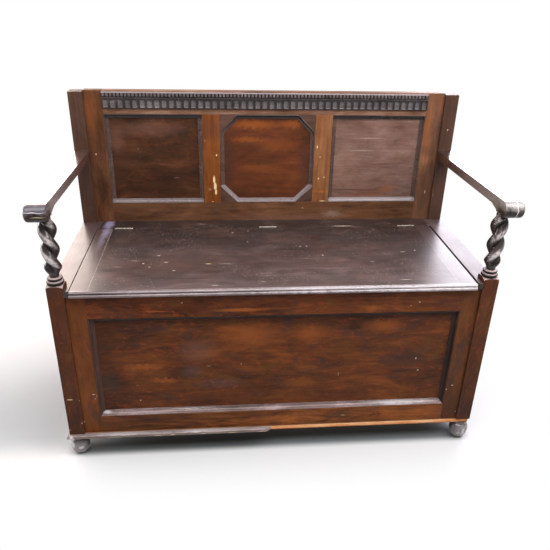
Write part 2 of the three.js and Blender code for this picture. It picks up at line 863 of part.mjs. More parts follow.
function addArms() {
  const reach = rearPostFront + noseReach;
  const inner = (y) => {
    const share = (rearPostFront - y) / reach;
    return THREE.MathUtils.lerp(postInner - armInnerInsetRear, postInner + armInnerInsetFront, share);
  };
  const width = (y) => THREE.MathUtils.lerp(armWidthRear, armWidthFront, (rearPostFront - y) / reach);
  const rings = [armSection().map((point) => new THREE.Vector3(inner(point.x), point.x, point.y))];
  for (const turn of arc(-noseEdgeRound, 0, noseEdgeRound, 90, 0, edgeRoundSteps)) {
    const section = armSection(noseEdgeRound - turn.y);
    rings.push(section.map((point) => {
      const outer = inner(point.x) + width(point.x);
      return new THREE.Vector3(outer + turn.x, point.x, point.y);
    }));
  }
  addPair('arm', loft(rings, armSection()), wood(colours.post, 0.3));
}

addPosts();
addBase();
addEdgeStrips();
addFeet();
addBoxFront();
addBoxSides();
addBoxBack();
addSeatBoards();
addLid();
addHinges();
addBackFrame();
addBackPanels();
addSpandrels();
addCarvedStrip();
addArms();

export default bench;
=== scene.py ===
# Settle bench in dark stained oak: looks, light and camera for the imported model.
# Metres. X runs along the bench, Y from front to back, Z up from the floor.

import math
from collections import namedtuple

import bpy
from mathutils import Matrix, Vector


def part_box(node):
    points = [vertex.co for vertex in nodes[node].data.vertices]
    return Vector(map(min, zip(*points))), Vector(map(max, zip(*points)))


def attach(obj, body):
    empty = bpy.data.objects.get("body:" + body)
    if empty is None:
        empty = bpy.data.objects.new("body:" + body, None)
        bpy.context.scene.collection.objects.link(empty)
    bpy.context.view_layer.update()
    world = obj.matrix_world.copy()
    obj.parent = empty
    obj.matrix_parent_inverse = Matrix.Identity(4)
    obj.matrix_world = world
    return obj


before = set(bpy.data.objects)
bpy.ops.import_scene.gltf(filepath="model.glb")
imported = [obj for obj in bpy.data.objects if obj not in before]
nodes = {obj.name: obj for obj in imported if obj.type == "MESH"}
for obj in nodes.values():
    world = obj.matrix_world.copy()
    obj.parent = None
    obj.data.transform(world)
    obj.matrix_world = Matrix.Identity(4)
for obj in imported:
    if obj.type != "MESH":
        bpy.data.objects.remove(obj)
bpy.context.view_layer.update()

MM = 0.001

ALONG_X = Vector((1, 0, 0))
ALONG_Y = Vector((0, 1, 0))
ALONG_Z = Vector((0, 0, 1))

# Camera: place, turn to the right of +Y, tilt down, roll and focal length in pixels
CAMERA_PLACE = Vector((-0.1328, -1.4496, 1.1401))
CAMERA_TURN = math.radians(5.608)
CAMERA_TILT = math.radians(26.619)
CAMERA_ROLL = math.radians(-1.516)
CAMERA_CLIP = 0.01
FOCAL_PIXELS = 595.07
IMAGE_PIXELS = 550
SENSOR_WIDTH_MM = 36

# Edges: sawn pieces get rounded ones, turned pieces are shaded smoothly up to the split angle
EDGE_ROUND = 0.9 * MM
SMALL_EDGE_ROUND = 0.35 * MM
EDGE_ANGLE = math.radians(32)
EDGE_SEGMENTS = 2
SAWN_NORMAL_WEIGHT = 90
SPLIT_ANGLE = math.radians(35)
TURNED_NORMAL_WEIGHT = 80
WELD_REACH = 0.01 * MM

# Row of tongues above the flutes of the carved strip. The width is a share of the pitch, and the
# band that they stand on runs between two shares of the strip's height.
TONGUE_COUNT = 92
TONGUE_WIDTH_SHARE = 0.62
TONGUE_REACH = 1.9 * MM
TONGUE_BAND_TOP_SHARE = 0.93
TONGUE_BAND_BOTTOM_SHARE = 0.705
TONGUE_BAND_SETBACK = 2 * MM
TONGUE_SINK = 0.3 * MM
TONGUE_SQUARENESS = 6
TONGUE_STEPS = 8
TONGUE_SEED = 5.3

# Seeds that give each piece its own stretch of the figure
FIRST_SEED = 3.1
SEED_STEP = 1.7
SEED_SHARES = (1, 0.7, 0.3)


def srgb(red, green, blue):
    """Linear colour of an 8-bit sRGB colour."""
    def linear(value):
        share = value / 255
        return share / 12.92 if share <= 0.04045 else ((share + 0.055) / 1.055) ** 2.4
    return (linear(red), linear(green), linear(blue), 1)


# Dark, middle and light tones of the stained oak
POST = (srgb(58, 31, 18), srgb(81, 44, 26), srgb(100, 57, 34))
REAR_POST = (srgb(60, 40, 32), srgb(78, 54, 43), srgb(98, 70, 56))
STILE = (srgb(78, 40, 17), srgb(106, 58, 26), srgb(124, 71, 34))
STILE_RIGHT = (srgb(71, 41, 22), srgb(97, 56, 29), srgb(117, 69, 36))
RAIL = (srgb(66, 32, 15), srgb(100, 52, 26), srgb(130, 72, 36))
LOW_RAIL = (srgb(66, 36, 16), srgb(106, 58, 26), srgb(140, 82, 38))
PANEL = (srgb(58, 33, 20), srgb(88, 47, 24), srgb(118, 64, 28))
SIDE_PANEL = (srgb(50, 29, 20), srgb(80, 44, 26), srgb(108, 60, 32))
MOULDING = (srgb(54, 38, 32), srgb(84, 62, 54), srgb(112, 86, 78))
# Mouldings of the front panel are lit and shaded copies of one tone: the lower one painted light as
# a highlight, the left one less dark, the top and right ones painted dark as shade
SHADED_MOULDING = (srgb(30, 19, 14), srgb(48, 32, 25), srgb(70, 50, 40))
LEFT_MOULDING = (srgb(48, 31, 25), srgb(72, 49, 41), srgb(96, 70, 60))
LIT_LOW_MOULDING = (srgb(78, 58, 52), srgb(112, 90, 86), srgb(158, 136, 136))
SEAT = (srgb(52, 40, 38), srgb(72, 57, 55), srgb(98, 80, 78))
NOSING = (srgb(76, 61, 61), srgb(108, 90, 91), srgb(146, 126, 127))
ARM = (srgb(66, 49, 44), srgb(98, 73, 68), srgb(124, 96, 92))
BACK_STILE = (srgb(66, 40, 25), srgb(96, 60, 38), srgb(120, 78, 50))
BACK_STILE_RIGHT = (srgb(84, 60, 48), srgb(118, 80, 58), srgb(150, 100, 66))
BACK_TOP_RAIL = (srgb(88, 58, 42), srgb(126, 90, 70), srgb(158, 122, 102))
BACK_LOW_RAIL = (srgb(68, 42, 26), srgb(99, 65, 43), srgb(124, 84, 58))
BACK_PANEL = (srgb(48, 28, 16), srgb(72, 42, 24), srgb(102, 64, 42))
BACK_CENTRE = (srgb(66, 34, 20), srgb(92, 48, 28), srgb(118, 62, 32))
# Tones of the right back panel: its wood with a painted sheen, paler and pinker than the other
# panels
BACK_RIGHT_WITH_SHEEN = (srgb(88, 62, 53), srgb(122, 92, 81), srgb(148, 118, 108))
MUNTIN = (srgb(92, 46, 15), srgb(121, 65, 26), srgb(144, 86, 42))
MUNTIN_RIGHT = (srgb(104, 62, 34), srgb(138, 88, 54), srgb(160, 112, 74))
SPANDREL = (srgb(60, 40, 33), srgb(88, 63, 53), srgb(108, 80, 68))
CARVING = (srgb(32, 27, 27), srgb(50, 43, 43), srgb(80, 71, 71))
FLUTE = (srgb(74, 69, 69), srgb(103, 97, 98), srgb(132, 125, 127))
TONGUE = (srgb(66, 57, 57), srgb(98, 87, 87), srgb(126, 113, 113))
TWIST = (srgb(24, 18, 16), srgb(36, 27, 25), srgb(54, 41, 38))
FOOT = (srgb(70, 62, 61), srgb(112, 103, 103), srgb(146, 137, 138))
EDGE = (srgb(82, 63, 57), srgb(110, 92, 86), srgb(146, 128, 122))
INSIDE = (srgb(84, 56, 38), srgb(112, 78, 54), srgb(138, 102, 74))
BARE = (srgb(184, 110, 60), srgb(230, 158, 102), srgb(252, 208, 160))

# Tones of patches, chips and scratches, and of painted highlights, reflections and shade
PALE = srgb(226, 206, 188)
CREAM = srgb(240, 214, 160)
TAN = srgb(176, 132, 96)
GLOW = srgb(152, 82, 36)
AMBER = srgb(178, 100, 40)
DUSK = srgb(64, 44, 40)
ROSE = srgb(126, 88, 76)
INK = srgb(30, 20, 17)
# Bluish tone of a painted reflection on the seat
BLUE_REFLECTION = srgb(150, 141, 168)
# Tone of the seat's wear, and of the painted sheen on the left arm
WEAR_AND_SHEEN = srgb(144, 131, 129)
# Tone of painted highlights and reflections
HIGHLIGHT_SILVER = srgb(216, 210, 212)
# Tone of painted highlights on the back mouldings and the carved strip's rim
PALE_HIGHLIGHT = srgb(160, 147, 149)
# Tone of the painted highlight on the strands of the twist
STRAND_HIGHLIGHT = srgb(214, 202, 200)
# Near-black of painted shade
SHADE_BLACK = srgb(20, 14, 12)
EMBER = srgb(132, 62, 32)
DOVE = srgb(84, 78, 86)
MOSS = srgb(54, 50, 46)
OLIVE = srgb(96, 62, 24)
SLATE = srgb(60, 46, 42)
# Tone of the painted highlight on upward faces of the turned posts
SHOULDER_HIGHLIGHT = srgb(186, 167, 163)
# Tone of the painted sheen on the right arm
SHEEN_MIST = srgb(128, 121, 114)

# How a piece of oak looks. clouds, flames, fibre and rings say how much each part of the figure
# shows; rough, specular and coat are its polish.
Finish = namedtuple("Finish", "tones grain clouds flames fibre rings rough specular coat")

FINISHES = [
    ("front_post", Finish(POST, ALONG_Z, 0.6, 0.35, 0.25, 0.0, 0.46, 0.14, 0.0)),
    ("rear_post", Finish(REAR_POST, ALONG_Z, 0.6, 0.4, 0.3, 0.0, 0.44, 0.2, 0.0)),
    ("base_board", Finish(INSIDE, ALONG_X, 0.6, 0.5, 0.6, 0.0, 0.65, 0.2, 0.0)),
    ("base_edge", Finish(EDGE, ALONG_X, 0.8, 0.8, 0.5, 0.0, 0.34, 0.5, 0.3)),
    ("bun_foot", Finish(FOOT, ALONG_Z, 1.0, 0.4, 0.0, 0.0, 0.2, 0.8, 0.8)),
    ("front_stile_left", Finish(STILE, ALONG_Z, 0.6, 0.5, 0.3, 0.0, 0.46, 0.14, 0.0)),
    ("front_stile_right", Finish(STILE_RIGHT, ALONG_Z, 0.6, 0.5, 0.3, 0.0, 0.46, 0.14, 0.0)),
    ("front_top_rail", Finish(RAIL, ALONG_X, 0.8, 0.6, 0.3, 0.1, 0.46, 0.14, 0.0)),
    ("front_bottom_rail", Finish(LOW_RAIL, ALONG_X, 0.6, 0.5, 0.35, 0.4, 0.46, 0.16, 0.0)),
    ("front_panel", Finish(PANEL, ALONG_X, 1.0, 0.5, 0.25, 0.1, 0.46, 0.14, 0.0)),
    ("front_moulding_bottom", Finish(LIT_LOW_MOULDING, ALONG_X, 0.8, 0.6, 0.3, 0.0, 0.26, 0.6, 0.4)),
    ("front_moulding_left", Finish(LEFT_MOULDING, ALONG_Z, 0.6, 0.4, 0.3, 0.0, 0.42, 0.2, 0.0)),
    ("front_moulding", Finish(SHADED_MOULDING, ALONG_Z, 0.6, 0.4, 0.3, 0.0, 0.42, 0.2, 0.0)),
    ("side_top_rail", Finish(RAIL, ALONG_Y, 0.7, 0.6, 0.3, 0.1, 0.44, 0.2, 0.0)),
    ("side_bottom_rail", Finish(RAIL, ALONG_Y, 0.7, 0.6, 0.3, 0.1, 0.44, 0.2, 0.0)),
    ("side_panel", Finish(SIDE_PANEL, ALONG_Z, 1.0, 0.6, 0.3, 0.1, 0.44, 0.2, 0.0)),
    ("box_back_board", Finish(INSIDE, ALONG_X, 0.8, 0.8, 0.6, 0.2, 0.7, 0.2, 0.0)),
    ("seat_side_board_left", Finish(SEAT, ALONG_Y, 0.7, 0.4, 0.25, 0.0, 0.34, 0.5, 0.4)),
    ("seat_side_board_right", Finish(SEAT, ALONG_Y, 0.7, 0.4, 0.25, 0.0, 0.34, 0.35, 0.15)),
    ("seat_rear_strip", Finish(SEAT, ALONG_X, 0.8, 0.7, 0.4, 0.0, 0.36, 0.5, 0.3)),
    ("lid_board", Finish(SEAT, ALONG_X, 0.9, 0.45, 0.3, 0.0, 0.39, 0.5, 0.3)),
    ("lid_cleat", Finish(SEAT, ALONG_Y, 0.6, 0.4, 0.2, 0.0, 0.37, 0.5, 0.4)),
    ("lid_nosing", Finish(NOSING, ALONG_X, 0.6, 0.5, 0.3, 0.0, 0.24, 0.6, 0.4)),
    ("back_stile_left", Finish(BACK_STILE, ALONG_Z, 0.8, 0.6, 0.35, 0.0, 0.46, 0.18, 0.0)),
    ("back_stile_right", Finish(BACK_STILE_RIGHT, ALONG_Z, 0.8, 0.6, 0.35, 0.0, 0.46, 0.2, 0.0)),
    ("back_top_rail", Finish(BACK_TOP_RAIL, ALONG_X, 0.8, 0.6, 0.35, 0.1, 0.44, 0.25, 0.0)),
    ("back_bottom_rail", Finish(BACK_LOW_RAIL, ALONG_X, 0.8, 0.6, 0.35, 0.1, 0.44, 0.25, 0.0)),
    ("back_muntin_left", Finish(MUNTIN, ALONG_Z, 0.6, 0.6, 0.35, 0.0, 0.46, 0.2, 0.0)),
    ("back_muntin_right", Finish(MUNTIN_RIGHT, ALONG_Z, 0.6, 0.6, 0.35, 0.0, 0.46, 0.2, 0.0)),
    ("back_panel_left", Finish(BACK_PANEL, ALONG_X, 1.2, 0.35, 0.25, 0.0, 0.42, 0.25, 0.0)),
    ("back_panel_centre", Finish(BACK_CENTRE, ALONG_X, 0.9, 0.4, 0.2, 0.08, 0.42, 0.2, 0.0)),
    ("back_panel_right", Finish(BACK_RIGHT_WITH_SHEEN, ALONG_X, 0.8, 0.45, 0.25, 0.1, 0.42, 0.3, 0.0)),
    ("back_moulding", Finish(MOULDING, ALONG_X, 0.5, 0.4, 0.2, 0.0, 0.26, 0.6, 0.4)),
    ("spandrel", Finish(SPANDREL, ALONG_X, 0.7, 0.5, 0.3, 0.0, 0.46, 0.2, 0.0)),
    ("carved_strip", Finish(CARVING, ALONG_X, 0.8, 0.6, 0.3, 0.0, 0.36, 0.4, 0.2)),
    ("arm", Finish(ARM, ALONG_Y, 0.7, 0.4, 0.2, 0.0, 0.24, 0.35, 0.8)),
]
TWIST_FINISH = Finish(TWIST, ALONG_Z, 0.5, 0.3, 0.0, 0.0, 0.24, 0.4, 0.65)
TONGUE_FINISH = Finish(TONGUE, ALONG_Z, 1.0, 0.4, 0.2, 0.0, 0.3, 0.5, 0.3)

# Patches, chips, scratches and painted highlights, reflections and shade: shares of the piece
# across and up, or back on a top, then half width and half height in millimetres, tone, strength
# and softness of the rim
MARK_SHARES = {
    "front_panel": [
        (0.02, 0.50, 60, 260, INK, 0.35, 1.0),
        (0.43, 0.80, 80, 30, GLOW, 0.55, 0.9),
        (0.13, 0.49, 52, 9, GLOW, 0.6, 0.8),
        (0.185, 0.34, 40, 7, GLOW, 0.6, 0.8),
        (0.28, 0.64, 48, 34, ROSE, 0.35, 0.9),
        (0.235, 0.42, 34, 24, INK, 0.5, 0.9),
        (0.07, 0.30, 46, 30, INK, 0.4, 0.9),
        (0.59, 0.78, 46, 26, GLOW, 0.55, 0.9),
        (0.71, 0.85, 17, 15, INK, 0.45, 0.6),
        (0.80, 0.85, 50, 20, GLOW, 0.5, 0.9),
        (0.87, 0.50, 66, 32, DUSK, 0.55, 0.9),
        (0.57, 0.27, 42, 15, GLOW, 0.5, 0.9),
        (0.035, 0.31, 30, 30, MOSS, 0.5, 0.9),
        (0.34, 0.29, 60, 16, DOVE, 0.25, 0.9),
        (0.26, 0.43, 28, 20, DOVE, 0.25, 0.9),
        (0.115, 0.13, 0.9, 2.6, PALE, 0.7, 0.4),
        (0.11, 0.3, 2.4, 0.9, TAN, 0.7, 0.5),
        (0.31, 0.48, 6, 1.2, TAN, 0.6, 0.8),
        (0.4, 0.49, 1.6, 1.2, PALE, 0.6, 0.6),
        (0.569, 0.27, 50, 8, OLIVE, 0.6, 0.9),
        (0.678, 0.349, 1.1, 6, TAN, 0.8, 0.3),
        (0.901, 0.497, 1.2, 3.5, PALE, 0.7, 0.3),
        (0.912, 0.365, 2.6, 1.6, PALE, 0.8, 0.4),
    ],
    "front_top_rail": [
        (0.175, 0.28, 36, 2.2, GLOW, 0.7, 0.5),
        (0.40, 0.27, 66, 5, AMBER, 0.6, 0.8),
        (0.75, 0.22, 26, 8, GLOW, 0.5, 0.8),
        (0.246, 0.63, 1.6, 1.6, PALE, 0.7, 0.4),
        (0.882, 0.45, 2.2, 1.4, PALE, 0.8, 0.4),
        (0.86, 0.3, 2.0, 1.2, TAN, 0.8, 0.4),
    ],
    "front_bottom_rail": [
        (0.1, 0.5, 190, 60, INK, 0.45, 1.0),
        (0.52, 0.45, 70, 16, AMBER, 0.45, 0.9),
        (0.88, 0.5, 150, 30, AMBER, 0.3, 1.0),
        (0.5, 0.7, 60, 5, INK, 0.45, 0.9),
        (0.7, 0.36, 26, 4, INK, 0.45, 0.9),
        (0.8, 0.5, 20, 6, INK, 0.5, 0.9),
        (0.88, 0.72, 26, 4, INK, 0.45, 0.9),
        (0.7, 0.5, 6, 2, CREAM, 0.25, 0.9),
    ],
    "front_post_left": [
        (0.37, 0.186, 7, 1.4, CREAM, 0.9, 0.5),
        (0.95, 0.18, 1.5, 1.5, PALE, 0.8, 0.4),
        (0.1, 0.025, 1.4, 1.4, PALE, 0.7, 0.4),
        (0.9, 0.06, 1.4, 1.8, PALE, 0.7, 0.4),
        (0.4, 0.08, 40, 50, INK, 0.4, 1.0),
    ],
    "arm_left": [
        # On the nose: a painted grey reflection tone above, painted shade below, a worn golden line
        # and a painted highlight line
        (0.45, 0.8, 44, 12, DOVE, 0.9, 0.5),
        (0.45, 0.22, 44, 18, INK, 0.95, 0.4),
        (0.55, 0.42, 15, 1.0, CREAM, 0.75, 0.6),
        (0.40, 0.67, 26, 1.0, HIGHLIGHT_SILVER, 0.9, 0.6),
    ],
    "arm_right": [
        # On the nose: painted shade below, a painted highlight above and a painted reflection down
        # its outer edge
        (0.45, 0.15, 44, 22, INK, 0.97, 0.5),
        (0.6, 0.95, 34, 14, HIGHLIGHT_SILVER, 0.3, 0.8),
        (0.67, 0.5, 1.3, 40, HIGHLIGHT_SILVER, 0.95, 0.5),
    ],
    "base_edge_front": [
        (0.44, 0.34, 12, 1.8, CREAM, 0.7, 0.5),
        (0.51, 0.34, 6, 2.4, CREAM, 0.9, 0.5),
        (0.66, 0.34, 8, 1.8, CREAM, 0.7, 0.5),
        (0.80, 0.33, 20, 1.8, CREAM, 0.7, 0.5),
        (0.95, 0.33, 14, 2.2, PALE, 0.9, 0.5),
        # Painted highlights on the strip's left end and along its top
        (0.02, 0.5, 6, 5, HIGHLIGHT_SILVER, 0.8, 0.7),
        (0.5, 1.0, 400, 1.4, HIGHLIGHT_SILVER, 0.2, 0.9),
        (0.25, 0.98, 60, 1.6, HIGHLIGHT_SILVER, 0.3, 0.9),
        (0.62, 0.98, 40, 1.6, HIGHLIGHT_SILVER, 0.3, 0.9),
        (0.5, 0.15, 400, 3.6, PALE, 0.3, 0.9),
    ],
    "front_moulding_bottom": [
        # Painted highlights
        (0.02, 0.6, 12, 3, HIGHLIGHT_SILVER, 0.8, 0.8),
        (0.25, 0.7, 60, 1.6, HIGHLIGHT_SILVER, 0.6, 0.8),
        (0.86, 0.6, 90, 5, HIGHLIGHT_SILVER, 0.55, 0.9),
        (0.36, 0.3, 70, 3, DUSK, 0.3, 0.9),
        (0.60, 0.3, 80, 3, DUSK, 0.3, 0.9),
    ],
    "bun_foot_left": [
        # Painted shade under the foot, on its right side and under the base board, and painted
        # highlights
        (0.5, 0.02, 60, 10, INK, 0.85, 0.9),
        (0.98, 0.5, 9, 40, INK, 0.6, 0.9),
        (0.18, 0.6, 7, 10, HIGHLIGHT_SILVER, 0.8, 0.9),
        (0.62, 0.5, 7, 5, HIGHLIGHT_SILVER, 0.75, 0.9),
        (0.5, 1.0, 60, 8, INK, 0.7, 0.8),
    ],
    "bun_foot_right": [
        # Painted shade under the foot, on both sides and under the base board, and painted
        # highlights
        (0.5, 0.02, 60, 9, INK, 0.8, 0.9),
        (0.02, 0.6, 12, 40, INK, 0.6, 0.9),
        (0.98, 0.5, 9, 40, INK, 0.5, 0.9),
        (0.62, 0.5, 6, 12, HIGHLIGHT_SILVER, 0.7, 0.9),
        (0.36, 0.42, 6, 5, HIGHLIGHT_SILVER, 0.4, 0.9),
        (0.5, 1.0, 60, 10, INK, 0.8, 0.8),
    ],
    "front_stile_left": [
        (0.97, 0.29, 1.2, 6, TAN, 0.6, 0.5),
        (0.05, 0.09, 1.2, 2, PALE, 0.7, 0.4),
        (0.8, 0.303, 4.5, 0.9, PALE, 0.85, 0.5),
        (0.86, 0.266, 1.8, 1.2, PALE, 0.8, 0.5),
    ],
    "front_stile_right": [
        (0.37, 0.277, 3.0, 1.6, PALE, 0.8, 0.4),
        (0.06, 0.246, 1.4, 2.2, PALE, 0.7, 0.4),
        (0.9, 0.055, 1.6, 1.6, PALE, 0.7, 0.4),
        (0.4, 0.1, 40, 90, INK, 0.4, 1.0),
    ],
    "front_post_right": [
        (0.98, 0.166, 1.4, 3.0, PALE, 0.9, 0.4),
        (0.05, 0.1, 0.8, 34, INK, 0.6, 0.6),
        (0.5, 0.07, 40, 60, INK, 0.4, 1.0),
        (0.05, 0.69, 8, 14, INK, 0.55, 0.9),
    ],
    "back_muntin_left": [
        (0.62, 0.275, 3.4, 12, CREAM, 0.95, 0.4),
        (0.67, 0.20, 4.4, 12, CREAM, 0.95, 0.4),
        (0.72, 0.13, 3.2, 9, CREAM, 0.9, 0.4),
        (0.79, 0.557, 1.7, 3.6, CREAM, 0.9, 0.4),
        (0.14, 0.714, 1.2, 2.4, TAN, 0.8, 0.4),
        (0.36, 0.16, 5, 4, TAN, 0.6, 0.6),
        (0.52, 0.015, 1.5, 1.2, CREAM, 0.8, 0.4),
        (0.5, 0.85, 30, 34, DUSK, 0.35, 1.0),
    ],
    "back_muntin_right": [
        (0.17, 0.649, 1.6, 4.2, CREAM, 0.9, 0.4),
        (0.36, 0.535, 2.0, 1.4, CREAM, 0.8, 0.4),
        (0.34, 0.284, 2.2, 2.2, CREAM, 0.8, 0.4),
        (0.68, 0.30, 2.0, 2.0, CREAM, 0.8, 0.4),
        (0.64, 0.014, 9, 1.4, CREAM, 0.7, 0.5),
        (0.5, 0.13, 26, 4, AMBER, 0.5, 0.8),
        (0.78, 0.45, 5, 120, DUSK, 0.4, 0.9),
    ],
    "back_stile_left": [
        (0.36, 0.58, 2.2, 2.0, PALE, 0.95, 0.4),
        (0.3, 0.86, 20, 60, GLOW, 0.35, 0.9),
        (0.7, 0.66, 14, 90, INK, 0.3, 0.9),
    ],
    "back_stile_right": [
        (0.15, 0.75, 18, 70, GLOW, 0.4, 0.9),
        (0.5, 0.6, 30, 18, INK, 0.4, 0.9),
        (0.5, 0.28, 30, 90, DUSK, 0.45, 0.9),
        (0.6, 0.3, 1.2, 6, PALE, 0.6, 0.5),
    ],
    "rear_post_right": [
        (0.5, 0.887, 2.2, 3.0, CREAM, 0.7, 0.5),
        (0.1, 0.66, 1.4, 5, TAN, 0.6, 0.5),
    ],
    "back_panel_left": [
        # The two pale patches at the top are a painted sheen
        (0.48, 0.84, 100, 22, ROSE, 0.35, 0.9),
        (0.10, 0.72, 22, 40, ROSE, 0.35, 0.9),
        (0.52, 0.18, 120, 60, INK, 0.35, 1.0),
        (0.71, 0.285, 9, 1.4, ROSE, 0.8, 0.5),
        (0.32, 0.62, 2, 2, TAN, 0.5, 0.6),
    ],
    "back_panel_centre": [
        (0.36, 0.89, 70, 15, GLOW, 0.75, 0.9),
        (0.30, 0.72, 54, 8, GLOW, 0.6, 0.9),
        (0.76, 0.90, 34, 14, GLOW, 0.7, 0.9),
        (0.62, 0.66, 60, 22, GLOW, 0.35, 0.9),
        (0.42, 0.40, 70, 14, GLOW, 0.3, 0.9),
        (0.92, 0.40, 26, 90, DUSK, 0.5, 0.9),
        (0.08, 0.45, 20, 90, DUSK, 0.5, 0.9),
        (0.5, 0.05, 90, 30, INK, 0.35, 0.9),
    ],
    "back_panel_right": [
        (0.44, 0.94, 120, 22, ROSE, 0.35, 1.0),
        (0.9, 0.2, 50, 90, DUSK, 0.3, 1.0),
        (0.42, 0.74, 42, 2.2, PALE, 0.25, 0.9),
        (0.34, 0.60, 40, 2.2, PALE, 0.2, 0.9),
        (0.57, 0.44, 44, 2.6, INK, 0.4, 0.9),
        (0.66, 0.15, 24, 10, GLOW, 0.4, 0.9),
        (0.45, 0.08, 60, 14, EMBER, 0.25, 1.0),
        (0.15, 0.4, 40, 60, TAN, 0.12, 1.0),
    ],
    "back_bottom_rail": [
        (0.55, 0.45, 150, 16, ROSE, 0.35, 1.0),
        (0.72, 0.6, 30, 12, PALE, 0.14, 1.0),
        (0.62, 0.8, 2.4, 1.4, PALE, 0.7, 0.5),
        (0.05, 0.4, 80, 40, INK, 0.25, 1.0),
    ],
    "lid_board": [
        (0.055, 0.330, 10, 1.4, PALE, 0.35, 0.6),
        (0.125, 0.378, 2.4, 2.4, PALE, 0.7, 0.4),
        (0.100, 0.42, 14, 1.0, PALE, 0.5, 0.7),
        (0.90, 0.507, 7, 1.2, PALE, 0.6, 0.5),
        (0.855, 0.07, 17, 0.9, PALE, 0.6, 0.5),
        (0.31, 0.355, 9, 1.8, CREAM, 0.8, 0.5),
        (0.36, 0.352, 17, 0.9, PALE, 0.5, 0.6),
        (0.33, 0.04, 9, 1.1, PALE, 0.5, 0.5),
        (0.46, 0.08, 6, 1.0, PALE, 0.5, 0.5),
        (0.385, 0.9, 3.0, 2.0, PALE, 0.7, 0.5),
        (0.60, 0.42, 26, 1.1, TAN, 0.35, 0.6),
        (0.7, 0.38, 26, 10, ROSE, 0.18, 0.9),
        (0.20, 0.35, 105, 52, ROSE, 0.22, 1.0),
        (0.165, 0.5, 5, 3, PALE, 0.4, 0.7),
        (0.19, 0.39, 6, 3, PALE, 0.4, 0.7),
        (0.145, 0.32, 3, 2.4, PALE, 0.5, 0.6),
        (0.215, 0.26, 4, 2.4, PALE, 0.4, 0.6),
        (0.43, 0.72, 2, 2.4, PALE, 0.7, 0.5),
        (0.435, 0.93, 1.6, 3, PALE, 0.6, 0.5),
        (0.59, 0.63, 2.4, 2, PALE, 0.8, 0.5),
        (0.61, 0.63, 2.4, 2, PALE, 0.7, 0.5),
        (0.65, 0.47, 2, 4, PALE, 0.6, 0.6),
        (0.79, 0.35, 8, 1.6, PALE, 0.4, 0.7),
        (0.94, 0.53, 2, 4, PALE, 0.6, 0.6),
    ],
    "lid_nosing": [
        # Painted highlights along the nosing
        (0.30, 0.8, 240, 9, HIGHLIGHT_SILVER, 0.12, 1.0),
        (0.62, 0.8, 170, 9, HIGHLIGHT_SILVER, 0.5, 1.0),
        (0.92, 0.7, 220, 12, HIGHLIGHT_SILVER, 0.65, 1.0),
    ],
    "seat_rear_strip": [
        (0.73, 0.06, 34, 2.2, PALE, 0.7, 0.6),
        # Painted bluish reflection
        (0.024, 0.5, 14, 36, BLUE_REFLECTION, 0.75, 0.6),
        (0.30, 0.5, 14, 1.2, PALE, 0.4, 0.6),
    ],
    "lid_cleat_left": [
        # Painted bluish reflection
        (0.66, 0.94, 12, 40, BLUE_REFLECTION, 0.6, 0.9),
        (0.58, 0.80, 8, 60, BLUE_REFLECTION, 0.4, 1.0),
        (0.995, 0.5, 1.2, 400, PALE, 0.3, 0.6),
    ],
    "lid_cleat_right": [
        (0.005, 0.25, 0.9, 90, PALE, 0.4, 0.8),
    ],
}

# Pieces by how they are treated
TOPS = ("lid_board", "lid_cleat", "seat")
WORN_TOPS = ("lid_board", "seat_rear_strip")
ROUNDED = ("arm", "bun_foot", "lid_nosing", "base_edge", "front_moulding")
TURNED = ("front_post", "bun_foot")
BOXED = ("front_stile", "front_top_rail", "front_bottom_rail", "front_panel", "front_post", "side")
MUCH_RUBBED = ("front_moulding", "base_edge", "lid_nosing", "carved")
SMALL_EDGED = (
    "hinge", "back_moulding", "front_moulding", "carved", "lid_cleat_left", "seat_side_board_left",
)

# Noise: scale, detail, roughness, distortion, and how fast it runs along the grain beside across it
Pattern = namedtuple("Pattern", "scale detail roughness distortion share", defaults=(0.0, 1.0))

# A tone laid over a colour: how strongly, and where in some measure it starts and is full
Wash = namedtuple("Wash", "tone strength start full")


# Node trees

# Places of the colour sockets among those of a Mix node
MIX_FIRST = 6
MIX_SECOND = 7
MIX_RESULT = 2


